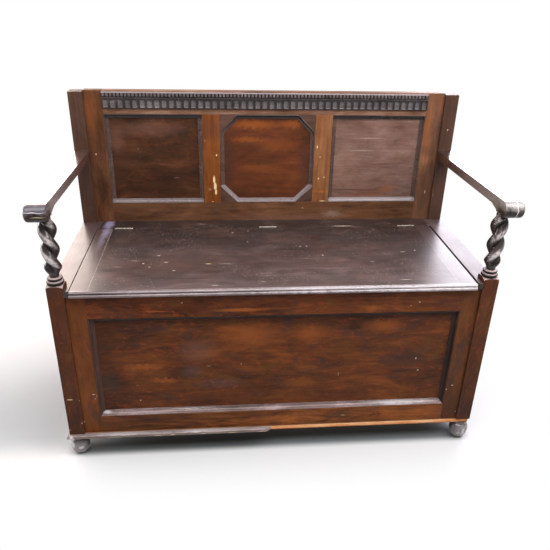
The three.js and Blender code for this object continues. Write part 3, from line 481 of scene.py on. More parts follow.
class Tree:
    """Adds nodes to a node tree and links them."""

    def __init__(self, tree):
        self.tree = tree

    def add(self, kind, inputs=None, **settings):
        node = self.tree.nodes.new(kind)
        for name, value in settings.items():
            setattr(node, name, value)
        for name, value in (inputs or {}).items():
            self.put(value, node.inputs[name])
        return node

    def put(self, value, socket):
        if isinstance(value, bpy.types.NodeSocket):
            self.tree.links.new(value, socket)
        else:
            socket.default_value = value

    def math(self, operation, *values):
        node = self.add("ShaderNodeMath", operation=operation)
        for value, socket in zip(values, node.inputs):
            self.put(value, socket)
        return node.outputs[0]

    def times(self, first, second):
        return self.math("MULTIPLY", first, second)

    def vector(self, operation, *values, output=0):
        node = self.add("ShaderNodeVectorMath", operation=operation)
        for value, socket in zip(values, node.inputs):
            self.put(value, socket)
        return node.outputs[output]

    def length(self, value):
        return self.vector("LENGTH", value, output=1)

    def ramp(self, value, start, full):
        """0 up to the start, 1 from where it is full, and a smooth step between them."""
        node = self.add("ShaderNodeMapRange", {"Value": value, "From Min": start, "From Max": full})
        node.interpolation_type = "SMOOTHSTEP"
        return node.outputs[0]

    def mix(self, factor, first, second):
        node = self.add("ShaderNodeMix", data_type="RGBA")
        self.put(factor, node.inputs[0])
        self.put(first, node.inputs[MIX_FIRST])
        self.put(second, node.inputs[MIX_SECOND])
        return node.outputs[MIX_RESULT]

    def tint(self, colour, tone, mask, strength):
        """Lays a tone over a colour where the mask says."""
        return self.mix(self.times(mask, strength), colour, tone)

    def wash(self, colour, measure, wash, amount=1.0):
        """Lays a wash over a colour, by a measure such as a height, a facing or a noise."""
        mask = self.ramp(measure, wash.start, wash.full)
        return self.tint(colour, wash.tone, mask, wash.strength * amount)

    def noise(self, place, pattern, output=0):
        inputs = {"Vector": place, "Scale": pattern.scale, "Detail": pattern.detail}
        inputs.update({"Roughness": pattern.roughness, "Distortion": pattern.distortion})
        return self.add("ShaderNodeTexNoise", inputs).outputs[output]

    def grained(self, place, grain, pattern):
        """Noise drawn out along the grain."""
        stretch = Vector((1, 1, 1)) - grain * (1 - pattern.share)
        return self.noise(self.vector("MULTIPLY", place, tuple(stretch)), pattern)

    def part(self, value, axis):
        """One of the X, Y and Z of a vector."""
        return self.add("ShaderNodeSeparateXYZ", {"Vector": value}).outputs[axis]

    def facing(self, axis):
        """How squarely the surface faces along an axis of the bench."""
        return self.part(self.add("ShaderNodeTexCoord").outputs["Normal"], axis)

    def mix_shaders(self, factor, first, second):
        node = self.add("ShaderNodeMixShader")
        for value, socket in zip((factor, first, second), node.inputs):
            self.put(value, socket)
        return node.outputs[0]


def new_material(name):
    """An empty material, and the tree that fills it."""
    material = bpy.data.materials.new(name)
    material.use_nodes = True
    material.node_tree.nodes.clear()
    return material, Tree(material.node_tree)


def corners(name):
    """Lowest and highest corner of a piece of the pack."""
    return (Vector(corner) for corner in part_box(name))


# Figure of the oak

CLOUDS = Pattern(15, 4, 0.6, 0.9, 0.4)
FLAMES = Pattern(46, 5, 0.6, 1.2, 0.16)
FIBRE = Pattern(240, 3, 0.6, 0.0, 0.035)
RINGS = Pattern(20, 2, 0.5, 1.6, 0.12)
RING_COUNT = 11.0
FIGURE_GAIN = 1.5

# Noise swings round this value
MIDDLE = 0.5

# Spans of the figure over which one tone gives way to the next
DARK_TO_MIDDLE = (0.14, 0.54)
MIDDLE_TO_LIGHT = (0.48, 0.88)


def oak_tone(tree, place, finish):
    """The figure: clouds, flames, fibre and growth rings. Also gives its fibre alone."""
    clouds, flames, fibre, rings = (
        tree.grained(place, finish.grain, pattern) for pattern in (CLOUDS, FLAMES, FIBRE, RINGS)
    )
    tone = MIDDLE
    for part, amount in ((clouds, finish.clouds), (flames, finish.flames), (fibre, finish.fibre)):
        swing = tree.times(tree.math("SUBTRACT", part, MIDDLE), FIGURE_GAIN * amount)
        tone = tree.math("ADD", tone, swing)
    if finish.rings:
        bands = tree.math("PINGPONG", tree.times(rings, RING_COUNT), 1.0)
        swing = tree.times(tree.math("SUBTRACT", bands, MIDDLE), finish.rings)
        tone = tree.math("ADD", tone, swing)
    return tone, fibre


def three_tones(tree, tone, tones):
    """Dark, middle and light tone by the figure."""
    dark, middle, light = tones
    low = tree.mix(tree.ramp(tone, *DARK_TO_MIDDLE), dark, middle)
    return tree.mix(tree.ramp(tone, *MIDDLE_TO_LIGHT), low, light)


# Uneven stain: dull olive and slate areas, and smaller glowing and dull patches over them
STAINS = (
    (Pattern(17, 3, 0.6, 1.4, 0.5), (Wash(OLIVE, 0.5, 0.53, 0.68), Wash(SLATE, 0.5, 0.46, 0.3))),
    (Pattern(58, 3, 0.65, 2.2, 0.36), (Wash(EMBER, 0.6, 0.53, 0.7), Wash(DUSK, 0.5, 0.45, 0.28))),
)
BACK_STAIN = 0.45


def patchy_stain(tree, colour, place, grain, stains, amount):
    """Lays areas of other tones along the grain."""
    for pattern, washes in stains:
        drift = tree.grained(place, grain, pattern)
        for wash in washes:
            colour = tree.wash(colour, drift, wash, amount)
    return colour


# Patches, chips and scratches, and painted highlights, reflections and shade

# A patch larger than this in half width and half height, in millimetres, has a more ragged rim
LARGE_MARK = 5
RAGS = Pattern(90, 3, 0.6)
RAG_REACH = 5 * MM
LARGE_RAG_TIMES = 5
SHARPEST_RIM = 0.02

# Spans of facing for upward faces, for forward ones and for those squarely forward
UPWARD = (-0.1, 0.3)
FORWARD = (0.3, -0.1)
SQUARELY_FORWARD = (-0.2, -0.6)

# Far is more than any piece measures, for a patch that runs right through one
FAR = 10.0


def spot(tree, place, at, reach, soft):
    """1 inside a small patch round a point, 0 outside it."""
    distance = tree.length(tree.vector("DIVIDE", tree.vector("SUBTRACT", place, at), reach))
    return tree.ramp(distance, 1 + soft / 2, max(1 - soft, SHARPEST_RIM))


def marked_faces(tree, place, name):
    """Masks of the faces that take the large marks of a piece, and its small ones."""
    if name.startswith(TOPS):
        broad = narrow = tree.ramp(tree.facing("Z"), *UPWARD)
    else:
        broad = narrow = tree.ramp(tree.facing("Y"), *FORWARD)
        if not name.startswith(ROUNDED):
            narrow = tree.ramp(tree.facing("Y"), *SQUARELY_FORWARD)
    if name.startswith("arm"):
        broad = narrow = tree.times(broad, nose(tree, place))
    return broad, narrow


def paint_marks(tree, colour, place, name):
    """Patches, chips and scratches, and painted light and shade, at their own places on a piece."""
    low, high = corners(name)
    size = high - low
    broad, narrow = marked_faces(tree, place, name)
    wander = tree.vector("SUBTRACT", tree.noise(place, RAGS, output=1), (MIDDLE,) * 3)
    shift = tree.vector("MULTIPLY", wander, (RAG_REACH,) * 3)
    small = tree.vector("ADD", place, shift)
    large = tree.vector("MULTIPLY_ADD", shift, (LARGE_RAG_TIMES,) * 3, place)
    for across, up, half_width, half_height, tone, strength, soft in MARK_SHARES[name]:
        x = low.x + across * size.x
        if name.startswith(TOPS):
            at = (x, low.y + up * size.y, 0)
            reach = (half_width * MM, half_height * MM, FAR)
        else:
            at = (x, 0, low.z + up * size.z)
            reach = (half_width * MM, FAR, half_height * MM)
        is_large = min(half_width, half_height) > LARGE_MARK
        ragged, faces = (large, broad) if is_large else (small, narrow)
        mask = spot(tree, ragged, at, reach, soft)
        colour = tree.mix(tree.times(mask, tree.times(faces, strength)), colour, tone)
    return colour


# Wear of edges and polish

# An arris shows where the bevelled normal turns from the face's own; noise says where it is rubbed.
# The rubbed tone is the light one of the piece with a share of tan.
RUB_RADIUS = 1.8 * MM
RUB_SAMPLES = 4
RUB_TURN = (0.995, 0.93)
RUB_NOISE = Pattern(48, 4, 0.7)
RUB_SPAN = (0.45, 0.66)
RUB_TAN = 0.4
RUB_MUCH = 0.5
RUB_LITTLE = 0.3


def rubbed_edges(tree, colour, place, light, amount):
    """Arrises are rubbed to a lighter tone in places."""
    bevel = tree.add("ShaderNodeBevel", {"Radius": RUB_RADIUS}, samples=RUB_SAMPLES)
    normal = tree.add("ShaderNodeNewGeometry").outputs["Normal"]
    turn = tree.vector("DOT_PRODUCT", bevel.outputs[0], normal, output=1)
    patches = tree.ramp(tree.noise(place, RUB_NOISE), *RUB_SPAN)
    paling = tree.times(tree.ramp(turn, *RUB_TURN), patches)
    return tree.tint(colour, tree.mix(RUB_TAN, light, TAN), paling, amount)


# Open pores are dark, rough and sunk. They show as the fibre does.
PORES = Pattern(620, 2, 0.5, 0.0, 0.045)
PORE_SPAN = (0.6, 0.74)
PORES_PER_FIBRE = 3
PORE_DARKNESS = 0.3
PORE_ROUGHNESS = 0.12
PORE_RISE = -0.5

# Fibre stands up, the surface swells a little, and smears change the gloss
FIBRE_RISE = 0.5
SMEAR = Pattern(11, 4, 0.65)
SMEAR_ROUGHNESS = 0.2
SWELL = Pattern(12, 2, 0.5)
SWELL_RISE = 2.4
BUMP_STRENGTH = 0.3
BUMP_REACH = 0.35 * MM
COAT_ROUGHNESS = 0.3

# A piece with more coat than this is polished: flatter, and with a clearer coat
POLISHED = 0.6
POLISHED_SWELL_RISE = 1.2
POLISHED_COAT_ROUGHNESS = 0.12


def finish_shader(tree, colour, place, fibre, finish, coat=None):
    """Polish that varies, over open pores that catch no light."""
    polished = finish.coat > POLISHED
    pores = tree.ramp(tree.grained(place, finish.grain, PORES), *PORE_SPAN)
    pores = tree.times(pores, min(1.0, PORES_PER_FIBRE * finish.fibre))
    smear = tree.noise(place, SMEAR)
    rough = tree.math("MULTIPLY_ADD", smear, SMEAR_ROUGHNESS, finish.rough - SMEAR_ROUGHNESS / 2)
    height = tree.math("MULTIPLY_ADD", pores, PORE_RISE, tree.times(fibre, FIBRE_RISE))
    swell_rise = POLISHED_SWELL_RISE if polished else SWELL_RISE
    height = tree.math("MULTIPLY_ADD", tree.noise(place, SWELL), swell_rise, height)
    bump = tree.add("ShaderNodeBump", {
        "Height": height,
        "Strength": BUMP_STRENGTH,
        "Distance": BUMP_REACH,
    })
    shader = tree.add("ShaderNodeBsdfPrincipled", {
        "Base Color": tree.tint(colour, INK, pores, PORE_DARKNESS),
        "Roughness": tree.math("MULTIPLY_ADD", pores, PORE_ROUGHNESS, rough),
        "Normal": bump.outputs[0],
        "Coat Weight": finish.coat if coat is None else coat,
        "Coat Roughness": POLISHED_COAT_ROUGHNESS if polished else COAT_ROUGHNESS,
        "Specular IOR Level": finish.specular,
    })
    return shader.outputs[0]


# Base board and seat

# Where the front edge strip broke away, how long its slanted tip is, how the bare front faces, and
# the heights between which the lower bare wood is painted dark as shade, with a ragged edge
BARE_FROM_X = -0.034
BARE_TIP = 26 * MM
BARE_FACING = (-0.6, -0.9)
BARE_SHADE_RAGS = Pattern(60, 3, 0.6)
BARE_SHADE_RAG_REACH = 4 * MM
BARE_SHADE_HEIGHTS = (5.5 * MM, 4 * MM)
BARE_SHADE_DARKNESS = 0.75


def bare_front(tree, colour, place, tone):
    """Bare wood on the front face of the base board where its edge strip is gone, painted dark
    below as shade.
    """
    front = tree.ramp(tree.facing("Y"), *BARE_FACING)
    right = tree.ramp(tree.part(place, "X"), BARE_FROM_X - BARE_TIP, BARE_FROM_X)
    low, _ = corners("base_board")
    ragged = tree.math("MULTIPLY_ADD", tree.noise(place, BARE_SHADE_RAGS), BARE_SHADE_RAG_REACH, tree.part(place, "Z"))
    bare_shade = tree.ramp(ragged, *(low.z + height for height in BARE_SHADE_HEIGHTS))
    # The lower part of the bare wood is painted dark as shade
    wood = tree.tint(three_tones(tree, tone, BARE), EMBER, bare_shade, BARE_SHADE_DARKNESS)
    return tree.mix(tree.times(front, right), colour, wood)


# The front end grain of a side board is painted dark as shade, by how it faces
SIDE_BOARD_FRONT_SHADE = Wash(INK, 0.7, -0.5, -0.9)

# The seat is painted dark to the rear as shade under the back, and is worn pale in front, with dull
# and ruddy patches and pale flecks
SEAT_REAR_SHADE = Wash(SHADE_BLACK, 0.72, -0.08, 0.14)
SEAT_FRONT = Wash(WEAR_AND_SHEEN, 0.1, -0.12, -0.22)
SEAT_STAINS = (
    (Pattern(13, 5, 0.7, 0.3, 0.7), (Wash(ROSE, 0.35, 0.46, 0.8), Wash(MOSS, 0.6, 0.52, 0.2))),
)
SEAT_FACING = (0.0, 0.4)
FLECKS = Pattern(230, 2, 0.6)
FLECK_SPAN = (0.64, 0.7)
FLECK_AREAS = Pattern(11, 3, 0.6)
FLECK_AREA_SPAN = (0.46, 0.6)
FLECK_STRENGTH = 0.4


def seat_wear_and_shade(tree, colour, place, shifted):
    """Wear of the seat, and shade painted dark to its rear, on its top alone."""
    y = tree.part(place, "Y")
    # Shade painted dark towards the back
    varied = tree.wash(colour, y, SEAT_REAR_SHADE)
    varied = tree.wash(varied, y, SEAT_FRONT)
    varied = patchy_stain(tree, varied, shifted, ALONG_X, SEAT_STAINS, 1)
    flecks = tree.ramp(tree.noise(shifted, FLECKS), *FLECK_SPAN)
    areas = tree.ramp(tree.noise(shifted, FLECK_AREAS), *FLECK_AREA_SPAN)
    varied = tree.tint(varied, PALE, tree.times(flecks, areas), FLECK_STRENGTH)
    return tree.mix(tree.ramp(tree.facing("Z"), *SEAT_FACING), colour, varied)


# Arms and their posts

# The arms are painted paler toward their noses as a sheen, and dark at the back posts as shade
ARM_SHEEN_AND_SHADE = {
    "arm_left": (Wash(INK, 0.5, 0.02, 0.16), Wash(WEAR_AND_SHEEN, 0.8, 0.1, -0.16)),
    "arm_right": (Wash(INK, 0.8, 0.02, 0.16), Wash(SHEEN_MIST, 0.8, 0.1, -0.16)),
}

# Where along the arm its nose starts and is full, and the share of the coat that is lost there
NOSE_Y = (-0.19, -0.215)
NOSE_COAT_LOSS = 0.93


def nose(tree, place):
    """1 on the rolled nose of an arm, 0 on the rest of it."""
    return tree.ramp(tree.part(place, "Y"), *NOSE_Y)


def nose_coat(tree, place, finish):
    """The polish is worn thin on the nose of an arm."""
    return tree.math("MULTIPLY_ADD", nose(tree, place), -NOSE_COAT_LOSS * finish.coat, finish.coat)


# Heights over the seat at which a post's turned part, its twist and its lowest shoulder start
TURNED_FROM = (10.5 * MM, 13 * MM)
TWIST_FROM = (32 * MM, 36 * MM)
SHOULDER_FROM = (5 * MM, 7 * MM)

# Upward faces of the turned part are painted pale as a highlight, and less so on the twist
SHOULDER_HIGHLIGHT_FACING = (0.35, 0.85)
SHOULDER_HIGHLIGHT_STRENGTH = 0.65
HIGHLIGHT_LESS_ON_TWIST = 0.35

# Strands are painted pale as a highlight far from the post's axis and in front: a little, and more
# where noise says
STRAND_RADIUS = (17 * MM, 20 * MM)
STRAND_FACING = (-0.4, -0.95)
STRAND_NOISE = Pattern(60, 3, 0.6)
STRAND_SPAN = (0.36, 0.6)
STRAND_LEAST = 0.15
STRAND_MORE = 0.75


def twist_above(tree, colour, place, tone, name):
    """The turned part of a front post is stained almost black, with painted highlights on its
    upward faces and strands. Also gives the mask of its twist.
    """
    _, seat_top = corners("lid_board")
    z = tree.part(place, "Z")
    turned, twist, highlight_height = (
        tree.ramp(z, *(seat_top.z + height for height in span))
        for span in (TURNED_FROM, TWIST_FROM, SHOULDER_FROM)
    )
    colour = tree.mix(turned, colour, three_tones(tree, tone, TWIST))
    # Upward faces are painted pale as a highlight
    up = tree.ramp(tree.facing("Z"), *SHOULDER_HIGHLIGHT_FACING)
    strength = tree.math("MULTIPLY_ADD", twist, -HIGHLIGHT_LESS_ON_TWIST, SHOULDER_HIGHLIGHT_STRENGTH)
    colour = tree.tint(colour, SHOULDER_HIGHLIGHT, tree.times(up, strength), highlight_height)
    # Strands are painted pale along their crests as a highlight
    return tree.tint(colour, STRAND_HIGHLIGHT, painted_strand_highlight(tree, place, name), twist), twist


def painted_strand_highlight(tree, place, name):
    """How strongly the strands of the twist are painted pale as a highlight: most on their crests.
    """
    low, high = corners(name)
    axis = ((low.x + high.x) / 2, (low.y + high.y) / 2, 0)
    radius = tree.length(tree.vector("MULTIPLY", tree.vector("SUBTRACT", place, axis), (1, 1, 0)))
    front = tree.ramp(tree.facing("Y"), *STRAND_FACING)
    crest = tree.times(tree.ramp(radius, *STRAND_RADIUS), front)
    varied = tree.ramp(tree.noise(place, STRAND_NOISE), *STRAND_SPAN)
    return tree.times(crest, tree.math("MULTIPLY_ADD", varied, STRAND_MORE, STRAND_LEAST))


# Mouldings and carving of the back

# How pale the lower bars of each moulding are painted as a highlight, and how high up that reaches
BAR_WIDTH = 14 * MM
BAR_HIGHLIGHT = {
    "back_moulding_left": (0.5, BAR_WIDTH),
    "back_moulding_centre": (0.65, 54 * MM),
    "back_moulding_right": (0.95, BAR_WIDTH),
}

# Soft border of the bars painted pale and of those painted dark, and how dark that painted shade is
BAR_RIM = 3 * MM
UPPER_BAR_SHADE = 0.75
BAR_UPWARD = Wash(DUSK, 0.5, 0.05, 0.6)
BAR_DOWNWARD_SHADE = Wash(SHADE_BLACK, 0.85, 0.0, -0.5)


def painted_light_on_bars(tree, colour, place, name):
    """Lower bars painted pale as highlight; upper bars and downward faces painted dark as shade."""
    paling, reach = BAR_HIGHLIGHT[name]
    low, high = corners(name)
    z = tree.part(place, "Z")
    highlight_to = low.z + reach
    shade_from = high.z - BAR_WIDTH
    # Lower bars painted pale as a highlight, upper bars and downward faces painted dark as shade
    colour = tree.wash(colour, z, Wash(PALE_HIGHLIGHT, paling, highlight_to, highlight_to - BAR_RIM))
    colour = tree.wash(colour, z, Wash(SHADE_BLACK, UPPER_BAR_SHADE, shade_from, shade_from + BAR_RIM))
    up = tree.facing("Z")
    colour = tree.wash(colour, up, BAR_UPWARD)
    return tree.wash(colour, up, BAR_DOWNWARD_SHADE)


# How deep the flutes are, and how far in they turn grey, as shares of that; where the band painted
# dark as shade behind the tongues and the rim painted pale as a highlight start, as shares of the
# strip's height
FLUTE_DEPTH = 3.2 * MM
FLUTE_SPAN = (0.04, 0.2)
BAND_SHADE_SPAN = (0.66, 0.7)
RIM_HIGHLIGHT_SPAN = (0.92, 0.94)
BAND_SHADE_DARKNESS = 0.75


def carved_tones(tree, colour, place, tone, name):
    """Grey flutes, dark fillets, a rim painted pale as a highlight and a band behind the tongues
    painted dark as shade.
    """
    low, high = corners(name)
    height = high.z - low.z
    y = tree.part(place, "Y")
    z = tree.part(place, "Z")
    depth = tree.ramp(y, *(low.y + share * FLUTE_DEPTH for share in FLUTE_SPAN))
    band_shade = tree.ramp(z, *(low.z + share * height for share in BAND_SHADE_SPAN))
    rim_highlight = tree.ramp(z, *(low.z + share * height for share in RIM_HIGHLIGHT_SPAN))
    flutes = tree.times(depth, tree.math("SUBTRACT", 1, band_shade))
    colour = tree.mix(flutes, colour, three_tones(tree, tone, FLUTE))
    # A band painted dark as shade behind the tongues, and a rim painted pale as a highlight
    colour = tree.tint(colour, INK, band_shade, BAND_SHADE_DARKNESS)
    return tree.mix(rim_highlight, colour, PALE_HIGHLIGHT)


# Materials

def aged(tree, colour, place, shifted, name, finish):
    """Stain, wear, marks, and painted light and shade, that a piece has besides its figure."""
    if name.startswith(BOXED):
        colour = patchy_stain(tree, colour, shifted, finish.grain, STAINS, 1)
    if name in BAR_HIGHLIGHT:
        colour = painted_light_on_bars(tree, colour, place, name)
    elif name.startswith("back_"):
        colour = patchy_stain(tree, colour, shifted, finish.grain, STAINS, BACK_STAIN)
    for wash in ARM_SHEEN_AND_SHADE.get(name, ()):
        colour = tree.wash(colour, tree.part(place, "Y"), wash)
    if name in WORN_TOPS:
        colour = seat_wear_and_shade(tree, colour, place, shifted)
    if name in MARK_SHARES:
        colour = paint_marks(tree, colour, place, name)
    return colour


def oak(name, finish, seed):
    """The material of one piece of oak."""
    material, tree = new_material(f"{name}_oak")
    place = tree.add("ShaderNodeTexCoord").outputs["Object"]
    shifted = tree.vector("ADD", place, tuple(seed * share for share in SEED_SHARES))
    tone, fibre = oak_tone(tree, shifted, finish)
    colour = aged(tree, three_tones(tree, tone, finish.tones), place, shifted, name, finish)
    if name == "carved_strip":
        colour = carved_tones(tree, colour, place, tone, name)
    paling = RUB_MUCH if name.startswith(MUCH_RUBBED) else RUB_LITTLE
    colour = rubbed_edges(tree, colour, shifted, finish.tones[2], paling)
    if name == "base_board":
        colour = bare_front(tree, colour, place, tone)
    if name.startswith("seat_side_board"):
        # Front end grain painted dark as shade
        colour = tree.wash(colour, tree.facing("Y"), SIDE_BOARD_FRONT_SHADE)
    if name.startswith("front_post"):
        colour, twist = twist_above(tree, colour, place, tone, name)
        square = finish_shader(tree, colour, shifted, fibre, finish)
        polished = finish_shader(tree, colour, shifted, fibre, TWIST_FINISH)
        surface = tree.mix_shaders(twist, square, polished)
    else:
        coat = nose_coat(tree, place, finish) if name.startswith("arm") else None
        surface = finish_shader(tree, colour, shifted, fibre, finish, coat)
    tree.add("ShaderNodeOutputMaterial", {"Surface": surface})
    return material


HINGE = (0.34, 0.3, 0.25, 1)
HINGE_ROUGHNESS = 0.34
HINGE_METAL = 0.7
TARNISH = Pattern(180, 4, 0.65)
TARNISH_SPAN = (0.52, 0.7)
TARNISH_TONE = (0.12, 0.08, 0.045, 1)
TARNISH_STRENGTH = 0.6
TARNISH_ROUGHNESS = 0.25


def hinge_steel():
    """Dulled hinge steel with brassy lacquer and spots of tarnish."""
    material, tree = new_material("hinge_steel")
    place = tree.add("ShaderNodeTexCoord").outputs["Object"]
    tarnish = tree.ramp(tree.noise(place, TARNISH), *TARNISH_SPAN)
    shader = tree.add("ShaderNodeBsdfPrincipled", {
        "Base Color": tree.tint(HINGE, TARNISH_TONE, tarnish, TARNISH_STRENGTH),
        "Roughness": tree.math("MULTIPLY_ADD", tarnish, TARNISH_ROUGHNESS, HINGE_ROUGHNESS),
        "Metallic": HINGE_METAL,
    })
    tree.add("ShaderNodeOutputMaterial", {"Surface": shader.outputs[0]})
    return material


def finish_nodes():
    """Gives each piece of oak its own tone, grain direction and polish."""
    hinge = hinge_steel()
    for number, (name, node) in enumerate(sorted(nodes.items())):
        finish = next((finish for start, finish in FINISHES if name.startswith(start)), None)
        material = oak(name, finish, FIRST_SEED + SEED_STEP * number) if finish else hinge
        node.data.materials.clear()
        node.data.materials.append(material)


def soften_nodes():
    """Rounds the arrises of the sawn pieces and shades the turned ones smoothly."""
    for name, node in nodes.items():
        weld = node.modifiers.new("weld", "WELD")
        weld.merge_threshold = WELD_REACH
        node.data.polygons.foreach_set("use_smooth", [True] * len(node.data.polygons))
        if name.startswith(TURNED):
            split = node.modifiers.new("sharp_edges", "EDGE_SPLIT")
            split.split_angle = SPLIT_ANGLE
            node.modifiers.new("flat_faces", "WEIGHTED_NORMAL").weight = TURNED_NORMAL_WEIGHT
            continue
        bevel = node.modifiers.new("soft_edges", "BEVEL")
        bevel.width = SMALL_EDGE_ROUND if name.startswith(SMALL_EDGED) else EDGE_ROUND
        bevel.segments = EDGE_SEGMENTS
        bevel.limit_method = "ANGLE"
        bevel.angle_limit = EDGE_ANGLE
        node.modifiers.new("flat_faces", "WEIGHTED_NORMAL").weight = SAWN_NORMAL_WEIGHT


# Row of tongues, a piece of the scene's own

def tongue(x, half, y, z0, z1):
    """A half-round tongue with a rounded head and foot, standing out from the band."""
    rings = []
    for step in range(TONGUE_STEPS + 1):
        share = step / TONGUE_STEPS
        drawn = math.sqrt(max(0.0, 1 - (2 * share - 1) ** TONGUE_SQUARENESS))
        ring = []
        for turn in range(TONGUE_STEPS + 1):
            angle = math.pi * turn / TONGUE_STEPS
            across = x - half * drawn * math.cos(angle)
            reach = TONGUE_REACH * drawn * math.sin(angle) + TONGUE_SINK
            ring.append((across, y - reach + TONGUE_SINK, z0 + (z1 - z0) * share))
        rings.append(ring)
    return rings


def add_tongues():
    """Row of small carved tongues over the flutes."""
    low, high = corners("carved_strip")
    height = high.z - low.z
    z0 = low.z + TONGUE_BAND_BOTTOM_SHARE * height
    z1 = low.z + TONGUE_BAND_TOP_SHARE * height
    pitch = (high.x - low.x) / TONGUE_COUNT
    count = TONGUE_STEPS + 1
    vertices = []
    faces = []
    for index in range(TONGUE_COUNT):
        x = low.x + (index + 0.5) * pitch
        start = len(vertices)
        for ring in tongue(x, TONGUE_WIDTH_SHARE * pitch / 2, low.y + TONGUE_BAND_SETBACK, z0, z1):
            vertices.extend(ring)
        for row in range(TONGUE_STEPS):
            for column in range(TONGUE_STEPS):
                a = start + row * count + column
                faces.append((a, a + 1, a + 1 + count, a + count))
    mesh = bpy.data.meshes.new("carved_tongues")
    mesh.from_pydata(vertices, [], faces)
    mesh.validate()
    mesh.materials.append(oak("carved_tongues", TONGUE_FINISH, TONGUE_SEED))
    for polygon in mesh.polygons:
        polygon.use_smooth = True
    piece = bpy.data.objects.new("carved_tongues", mesh)
    bpy.context.scene.collection.objects.link(piece)
    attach(piece, "bench")


# Floor, light and camera

FLOOR_HALF = 6.0
WHITE = (1, 1, 1, 1)

# Tones of the floor: as it lights the bench, then as seen in the open, and of the bench's shadow
# painted to the left and under the bench, close to its front and further back
FLOOR_LIT = (0.42, 0.42, 0.42, 1)
FLOOR_OPEN = (0.6, 0.6, 0.6, 1)
FLOOR_LEFT_SHADOW = (0.385, 0.40, 0.41, 1)
FLOOR_SHADOW_FRONT = (0.15, 0.162, 0.162, 1)
FLOOR_SHADOW_BACK = (0.42, 0.455, 0.455, 1)

# Where those tones start and are full, across the floor (X) and along it (Y)
SHADOW_UNDER_ACROSS = (0.56, 0.5)
SHADOW_UNDER_ALONG = (-0.235, -0.205)
SHADOW_BACK_ALONG = (-0.19, -0.145)
SHADOW_LEFT_ACROSS = (-0.45, -0.62)
SHADOW_LEFT_ALONG = (0.55, -0.1)
SHADOW_LEFT_FRONT_ALONG = (-0.27, -0.14)

# Where the floor fades into the white of the background
FADE_BEHIND = (0.25, 1.0)
FADE_BESIDE = (0.9, 1.6)
FADE_RIGHT = (0.5, 0.8)
FADE_AHEAD = (-0.22, -0.4)


def floor_paper():
    """Pale paper with the bench's shadow painted on it, fading to white away from the bench."""
    material, tree = new_material("floor_paper")
    place = tree.add("ShaderNodeTexCoord").outputs["Object"]
    x = tree.part(place, "X")
    y = tree.part(place, "Y")
    out = tree.math("ABSOLUTE", x)
    # The bench's shadow is painted on the paper, under the bench and to its left
    shadow_under = tree.times(tree.ramp(out, *SHADOW_UNDER_ACROSS), tree.ramp(y, *SHADOW_UNDER_ALONG))
    left = tree.times(tree.ramp(x, *SHADOW_LEFT_ACROSS), tree.ramp(y, *SHADOW_LEFT_ALONG))
    left = tree.times(left, tree.ramp(y, *SHADOW_LEFT_FRONT_ALONG))
    open_floor = tree.mix(left, FLOOR_OPEN, FLOOR_LEFT_SHADOW)
    shadow_deep = tree.mix(tree.ramp(y, *SHADOW_BACK_ALONG), FLOOR_SHADOW_FRONT, FLOOR_SHADOW_BACK)
    seen = tree.add("ShaderNodeLightPath").outputs["Is Camera Ray"]
    paper = tree.mix(seen, FLOOR_LIT, tree.mix(shadow_under, open_floor, shadow_deep))
    fade = tree.ramp(y, *FADE_BEHIND)
    for measure, span in ((out, FADE_BESIDE), (x, FADE_RIGHT), (y, FADE_AHEAD)):
        fade = tree.math("MAXIMUM", fade, tree.ramp(measure, *span))
    fade = tree.times(fade, seen)
    diffuse = tree.add("ShaderNodeBsdfDiffuse", {"Color": paper}).outputs[0]
    glow = tree.add("ShaderNodeEmission", {"Color": WHITE}).outputs[0]
    tree.add("ShaderNodeOutputMaterial", {"Surface": tree.mix_shaders(fade, diffuse, glow)})
    return material


def add_floor():
    """Square of paper under the bench."""
    half = FLOOR_HALF
    square = [(-half, -half, 0), (half, -half, 0), (half, half, 0), (-half, half, 0)]
    mesh = bpy.data.meshes.new("floor")
    mesh.from_pydata(square, [], [(0, 1, 2, 3)])
    mesh.materials.append(floor_paper())
    floor = bpy.data.objects.new("floor", mesh)
    bpy.context.scene.collection.objects.link(floor)


# Light of the world: the least of it, and how much more comes from behind and from above
WORLD_LEAST = 0.14
WORLD_BEHIND = 0.3
WORLD_BEHIND_SPAN = (-0.1, 0.6)
WORLD_ABOVE = 0.25
WORLD_ABOVE_SPAN = (0.0, 0.9)


def add_world():
    """White to the camera; for the light it gives, brighter behind the bench than in front."""
    world = bpy.data.worlds.new("studio")
    bpy.context.scene.world = world
    world.use_nodes = True
    world.node_tree.nodes.clear()
    tree = Tree(world.node_tree)
    way = tree.add("ShaderNodeTexCoord").outputs["Generated"]
    behind = tree.ramp(tree.part(way, "Y"), *WORLD_BEHIND_SPAN)
    above = tree.ramp(tree.part(way, "Z"), *WORLD_ABOVE_SPAN)
    level = tree.math("MULTIPLY_ADD", behind, WORLD_BEHIND, WORLD_LEAST)
    level = tree.math("MULTIPLY_ADD", above, WORLD_ABOVE, level)
    camera_ray = tree.add("ShaderNodeLightPath").outputs["Is Camera Ray"]
    strength = tree.math("MULTIPLY_ADD", tree.math("SUBTRACT", 1, level), camera_ray, level)
    background = tree.add("ShaderNodeBackground", {"Color": WHITE, "Strength": strength})
    tree.add("ShaderNodeOutputWorld", {"Surface": background.outputs[0]})


Softbox = namedtuple("Softbox", "name place target width height power colour")

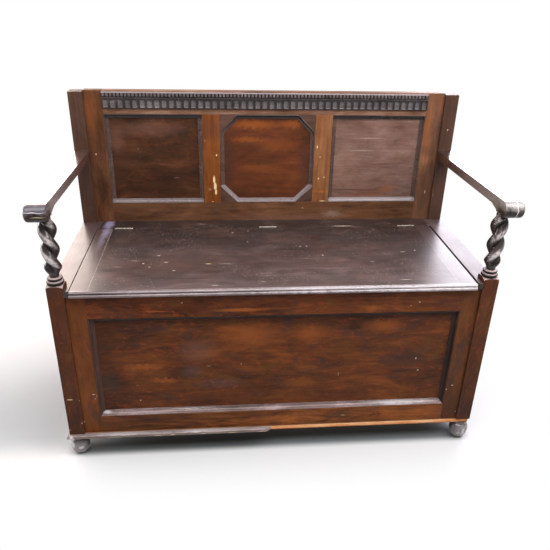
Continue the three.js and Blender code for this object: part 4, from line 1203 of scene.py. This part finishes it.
SOFTBOXES = (
    Softbox("overhead", (-0.2, -1.1, 2.5), (0.0, 0.05, 0.45), 2.6, 1.3, 58, (1, 1, 1)),
    Softbox("right", (1.5, -0.75, 2.2), (0.1, 0.0, 0.5), 1.3, 1.0, 44, (0.97, 0.96, 1.0)),
    Softbox("back_left", (-1.5, 1.5, 1.25), (-0.45, 0.0, 0.5), 1.4, 1.1, 36, (1.0, 0.84, 0.76)),
    Softbox("back_right", (1.62, 1.5, 1.25), (0.45, 0.0, 0.5), 1.6, 1.1, 42, (0.94, 0.90, 1.0)),
    Softbox("left", (-2.2, 0.35, 0.8), (-0.5, 0.0, 0.6), 1.4, 0.8, 26, (1.0, 0.97, 0.98)),
)


def add_lights():
    """Soft lamps round the bench."""
    for softbox in SOFTBOXES:
        lamp = bpy.data.lights.new(softbox.name, "AREA")
        lamp.shape = "RECTANGLE"
        lamp.size = softbox.width
        lamp.size_y = softbox.height
        lamp.energy = softbox.power
        lamp.color = softbox.colour
        light = bpy.data.objects.new(softbox.name, lamp)
        bpy.context.scene.collection.objects.link(light)
        light.location = softbox.place
        light.rotation_mode = "QUATERNION"
        aim = Vector(softbox.target) - Vector(softbox.place)
        light.rotation_quaternion = aim.to_track_quat("-Z", "Y")


def add_camera():
    """Camera at the photo's viewpoint."""
    level = Vector((math.cos(CAMERA_TURN), -math.sin(CAMERA_TURN), 0))
    ahead = Vector((math.sin(CAMERA_TURN), math.cos(CAMERA_TURN), 0)) * math.cos(CAMERA_TILT)
    ahead.z = -math.sin(CAMERA_TILT)
    down = ahead.cross(level)
    right = math.cos(CAMERA_ROLL) * level + math.sin(CAMERA_ROLL) * down
    below = math.cos(CAMERA_ROLL) * down - math.sin(CAMERA_ROLL) * level
    data = bpy.data.cameras.new("camera")
    data.sensor_width = SENSOR_WIDTH_MM
    data.lens = FOCAL_PIXELS / IMAGE_PIXELS * SENSOR_WIDTH_MM
    data.clip_start = CAMERA_CLIP
    camera = bpy.data.objects.new("camera", data)
    bpy.context.scene.collection.objects.link(camera)
    turn = Matrix((right, -below, -ahead)).transposed()
    camera.matrix_world = Matrix.Translation(CAMERA_PLACE) @ turn.to_4x4()
    bpy.context.scene.camera = camera


finish_nodes()
soften_nodes()
add_tongues()
add_floor()
add_world()
add_lights()
add_camera()
bpy.context.scene.view_settings.view_transform = "Standard"
